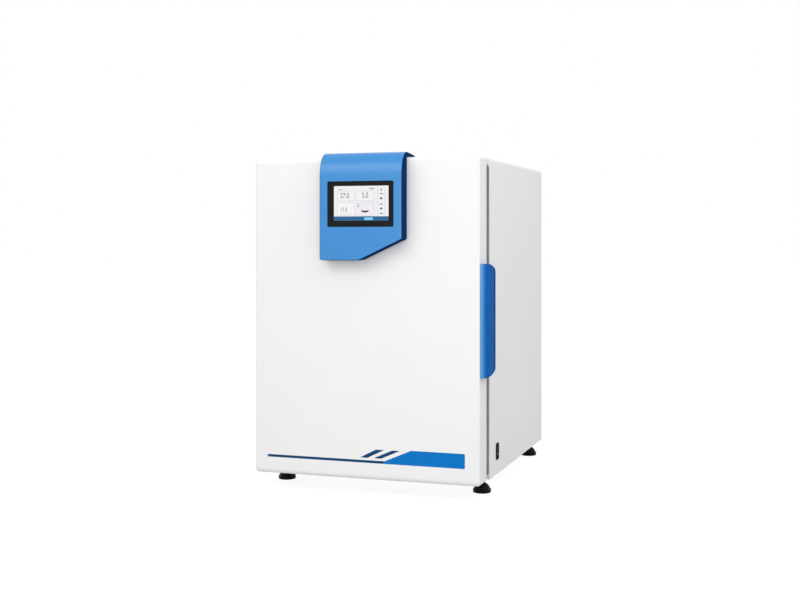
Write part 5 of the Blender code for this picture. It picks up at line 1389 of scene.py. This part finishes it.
class INCUBATOR_OT_glass_door(MakerOperator, bpy.types.Operator):
    """Make the glass inner door with its seal, hinges, latch and keeper"""
    bl_idname = "incubator.glass_door"
    bl_label = "Glass Door"

    def execute(self, context):
        dressed("inner_door_glass", clear_glass(), edge=0)
        dressed("inner_door_seal", silicone(), edge=0.0003)
        for place in ("lower", "upper"):
            dressed(f"inner_hinge_bracket_{place}", zinc_plate(), edge=0.0002)
            dressed(f"inner_hinge_clamp_{place}", zinc_plate(), edge=0.0002)
        dressed("inner_latch", black_plastic())
        dressed("latch_keeper", black_plastic())
        return {"FINISHED"}


class INCUBATOR_OT_hinges(MakerOperator, bpy.types.Operator):
    """Make the outer door's hinges"""
    bl_idname = "incubator.hinges"
    bl_label = "Hinges"

    def execute(self, context):
        for place in ("lower", "upper"):
            for kind in ("cabinet_leaf", "door_leaf", "pin"):
                dressed(f"hinge_{kind}_{place}", zinc_plate(), edge=0.0002)
        hinge_screws()
        return {"FINISHED"}


class INCUBATOR_OT_feet(MakerOperator, bpy.types.Operator):
    """Make the levelling feet, their threaded stems and the lock nuts"""
    bl_idname = "incubator.feet"
    bl_label = "Feet"

    def execute(self, context):
        for place in ("front_left", "front_right", "rear_left", "rear_right"):
            levelling_foot(place)
            dressed(f"foot_locknut_{place}", zinc_plate(), edge=0.0003)
        return {"FINISHED"}


class INCUBATOR_OT_power_switch(MakerOperator, bpy.types.Operator):
    """Make the rocker switch on the right side"""
    bl_idname = "incubator.power_switch"
    bl_label = "Power Switch"

    def execute(self, context):
        dressed("switch_frame", switch_black(), edge=0.0003)
        switch_rocker()
        return {"FINISHED"}


class INCUBATOR_OT_rear(MakerOperator, bpy.types.Operator):
    """Make the back: panel, service cover, spacers, inlets and access port"""
    bl_idname = "incubator.rear"
    bl_label = "Rear"

    def execute(self, context):
        dressed("rear_panel", white_paint(), edge=0.0003)
        dressed("service_cover", white_paint(), edge=0.0003)
        for side in ("left", "right"):
            wall_spacer(side)
        dressed("mains_inlet", black_plastic(), edge=0.0003)
        dressed("data_port", grey_plastic(), edge=0.0003)
        inlet_pins()
        data_contacts()
        gas_inlet()
        access_port()
        rear_screws()
        coat("power_module", zinc_plate())
        return {"FINISHED"}


class INCUBATOR_OT_stage(MakerOperator, bpy.types.Operator):
    """Make the pale floor, the room light, three soft lights and the camera"""
    bl_idname = "incubator.stage"
    bl_label = "Stage"

    def execute(self, context):
        floor()
        room_light()
        soft_light("key_light", (0.60, -3.40, 0.55), (2.6, 1.8), studio().key_power)
        soft_light("top_light", (-0.50, -2.60, 2.20), (3.2, 1.2), studio().top_power)
        soft_light("side_light", (1.70, -0.50, 2.20), (1.2, 1.6), studio().side_power)
        camera()
        context.scene.view_settings.view_transform = "Standard"
        return {"FINISHED"}


def seen_straight(tree):
    """1 where a ray comes from the camera, a mirror or through glass."""
    path = tree.nodes.new("ShaderNodeLightPath").outputs
    total = path["Is Camera Ray"]
    for kind in ("Is Glossy Ray", "Is Transmission Ray"):
        total = add(tree, "ShaderNodeMath", {0: total, 1: path[kind]}, operation="MAXIMUM").outputs[0]
    return total


def floor():
    """Wide pale floor that keeps a faint shadow of the object."""
    reach, drop = 14.0, 0.0002
    shape = bmesh.new()
    bmesh.ops.create_grid(shape, x_segments=1, y_segments=1, size=reach)
    obj = linked("studio_floor", mesh_of(shape, "studio_floor"))
    obj.location.z = -drop
    material = bpy.data.materials.new("studio_floor")
    material.use_nodes = True
    tree = material.node_tree
    tree.nodes.remove(tree.nodes["Principled BSDF"])
    # the object gets light from a plain pale floor, and the camera sees a white one with a faint shadow
    pale = add(tree, "ShaderNodeBsdfDiffuse", {"Color": (0.50, 0.50, 0.50, 1)})
    thin = add(tree, "ShaderNodeBsdfDiffuse", {"Color": (0.20, 0.20, 0.20, 1)})
    glow = add(tree, "ShaderNodeEmission", {"Color": (1, 1, 1, 1), "Strength": 0.89})
    seen = add(tree, "ShaderNodeAddShader", {0: thin.outputs[0], 1: glow.outputs[0]})
    both = add(tree, "ShaderNodeMixShader", {0: seen_straight(tree), 1: pale.outputs[0], 2: seen.outputs[0]})
    tree.links.new(both.outputs[0], tree.nodes["Material Output"].inputs["Surface"])
    obj.data.materials.append(material)


def room_light():
    """Pale room all round, which the camera, mirrors and glass see as white."""
    world = bpy.context.scene.world or bpy.data.worlds.new("studio_room")
    bpy.context.scene.world = world
    world.use_nodes = True
    tree = world.node_tree
    background = tree.nodes["Background"]
    background.inputs["Color"].default_value = (1, 1, 1, 1)
    strength = ranged(tree, seen_straight(tree), 0.0, 1.0, studio().ambient, 1.0)
    tree.links.new(strength, background.inputs["Strength"])


def soft_light(name, location, spread, power):
    """Large soft light that faces the object."""
    light = bpy.data.lights.new(name, "AREA")
    light.shape = "RECTANGLE"
    light.size, light.size_y = spread
    light.energy = power
    obj = linked(name, light)
    obj.location = location
    obj.rotation_euler = (Vector(STUDIO_TARGET) - obj.location).to_track_quat("-Z", "Y").to_euler()


def camera():
    """Camera at the height of the door's upper half, turned to the object's right side."""
    aside, away, rise, turn, shift = 1.0655, 2.8699, 0.6262, 18.63, -0.0789
    lens = bpy.data.cameras.new("camera")
    lens.sensor_width = 36.0
    lens.lens = studio().lens
    lens.shift_y = shift
    obj = linked("camera", lens)
    obj.location = (MID + aside, DOOR_FRONT - away, BASE + rise)
    obj.rotation_euler = (math.radians(90), 0, math.radians(turn))
    bpy.context.scene.camera = obj


OPERATORS = (
    INCUBATOR_OT_door, INCUBATOR_OT_grip, INCUBATOR_OT_control_panel, INCUBATOR_OT_display,
    INCUBATOR_OT_cabinet, INCUBATOR_OT_chamber, INCUBATOR_OT_air_system, INCUBATOR_OT_glass_door,
    INCUBATOR_OT_hinges, INCUBATOR_OT_feet, INCUBATOR_OT_power_switch, INCUBATOR_OT_rear, INCUBATOR_OT_stage,
)
GROUPS = {
    "incubator_sizes": IncubatorSizes,
    "incubator_colours": IncubatorColours,
    "incubator_studio": IncubatorStudio,
}


class INCUBATOR_PT_maker(bpy.types.Panel):
    """Operators and values of the incubator"""
    bl_idname = "INCUBATOR_PT_maker"
    bl_label = "Incubator"
    bl_space_type = "VIEW_3D"
    bl_region_type = "UI"
    bl_category = "Incubator"

    def draw(self, context):
        for operator in OPERATORS:
            self.layout.operator(operator.bl_idname)
        for name, group in GROUPS.items():
            box = self.layout.box()
            for label in group.__annotations__:
                box.prop(getattr(context.scene, name), label)


def register():
    for group in GROUPS.values():
        bpy.utils.register_class(group)
    for name, group in GROUPS.items():
        setattr(bpy.types.Scene, name, PointerProperty(type=group))
    for operator in OPERATORS:
        bpy.utils.register_class(operator)
    bpy.utils.register_class(INCUBATOR_PT_maker)


def unregister():
    bpy.utils.unregister_class(INCUBATOR_PT_maker)
    for operator in reversed(OPERATORS):
        bpy.utils.unregister_class(operator)
    for name, group in GROUPS.items():
        delattr(bpy.types.Scene, name)
        bpy.utils.unregister_class(group)


def main():
    register()
    for operator in OPERATORS:
        area, action = operator.bl_idname.split(".")
        getattr(getattr(bpy.ops, area), action)()


if __name__ == "__main__":
    main()
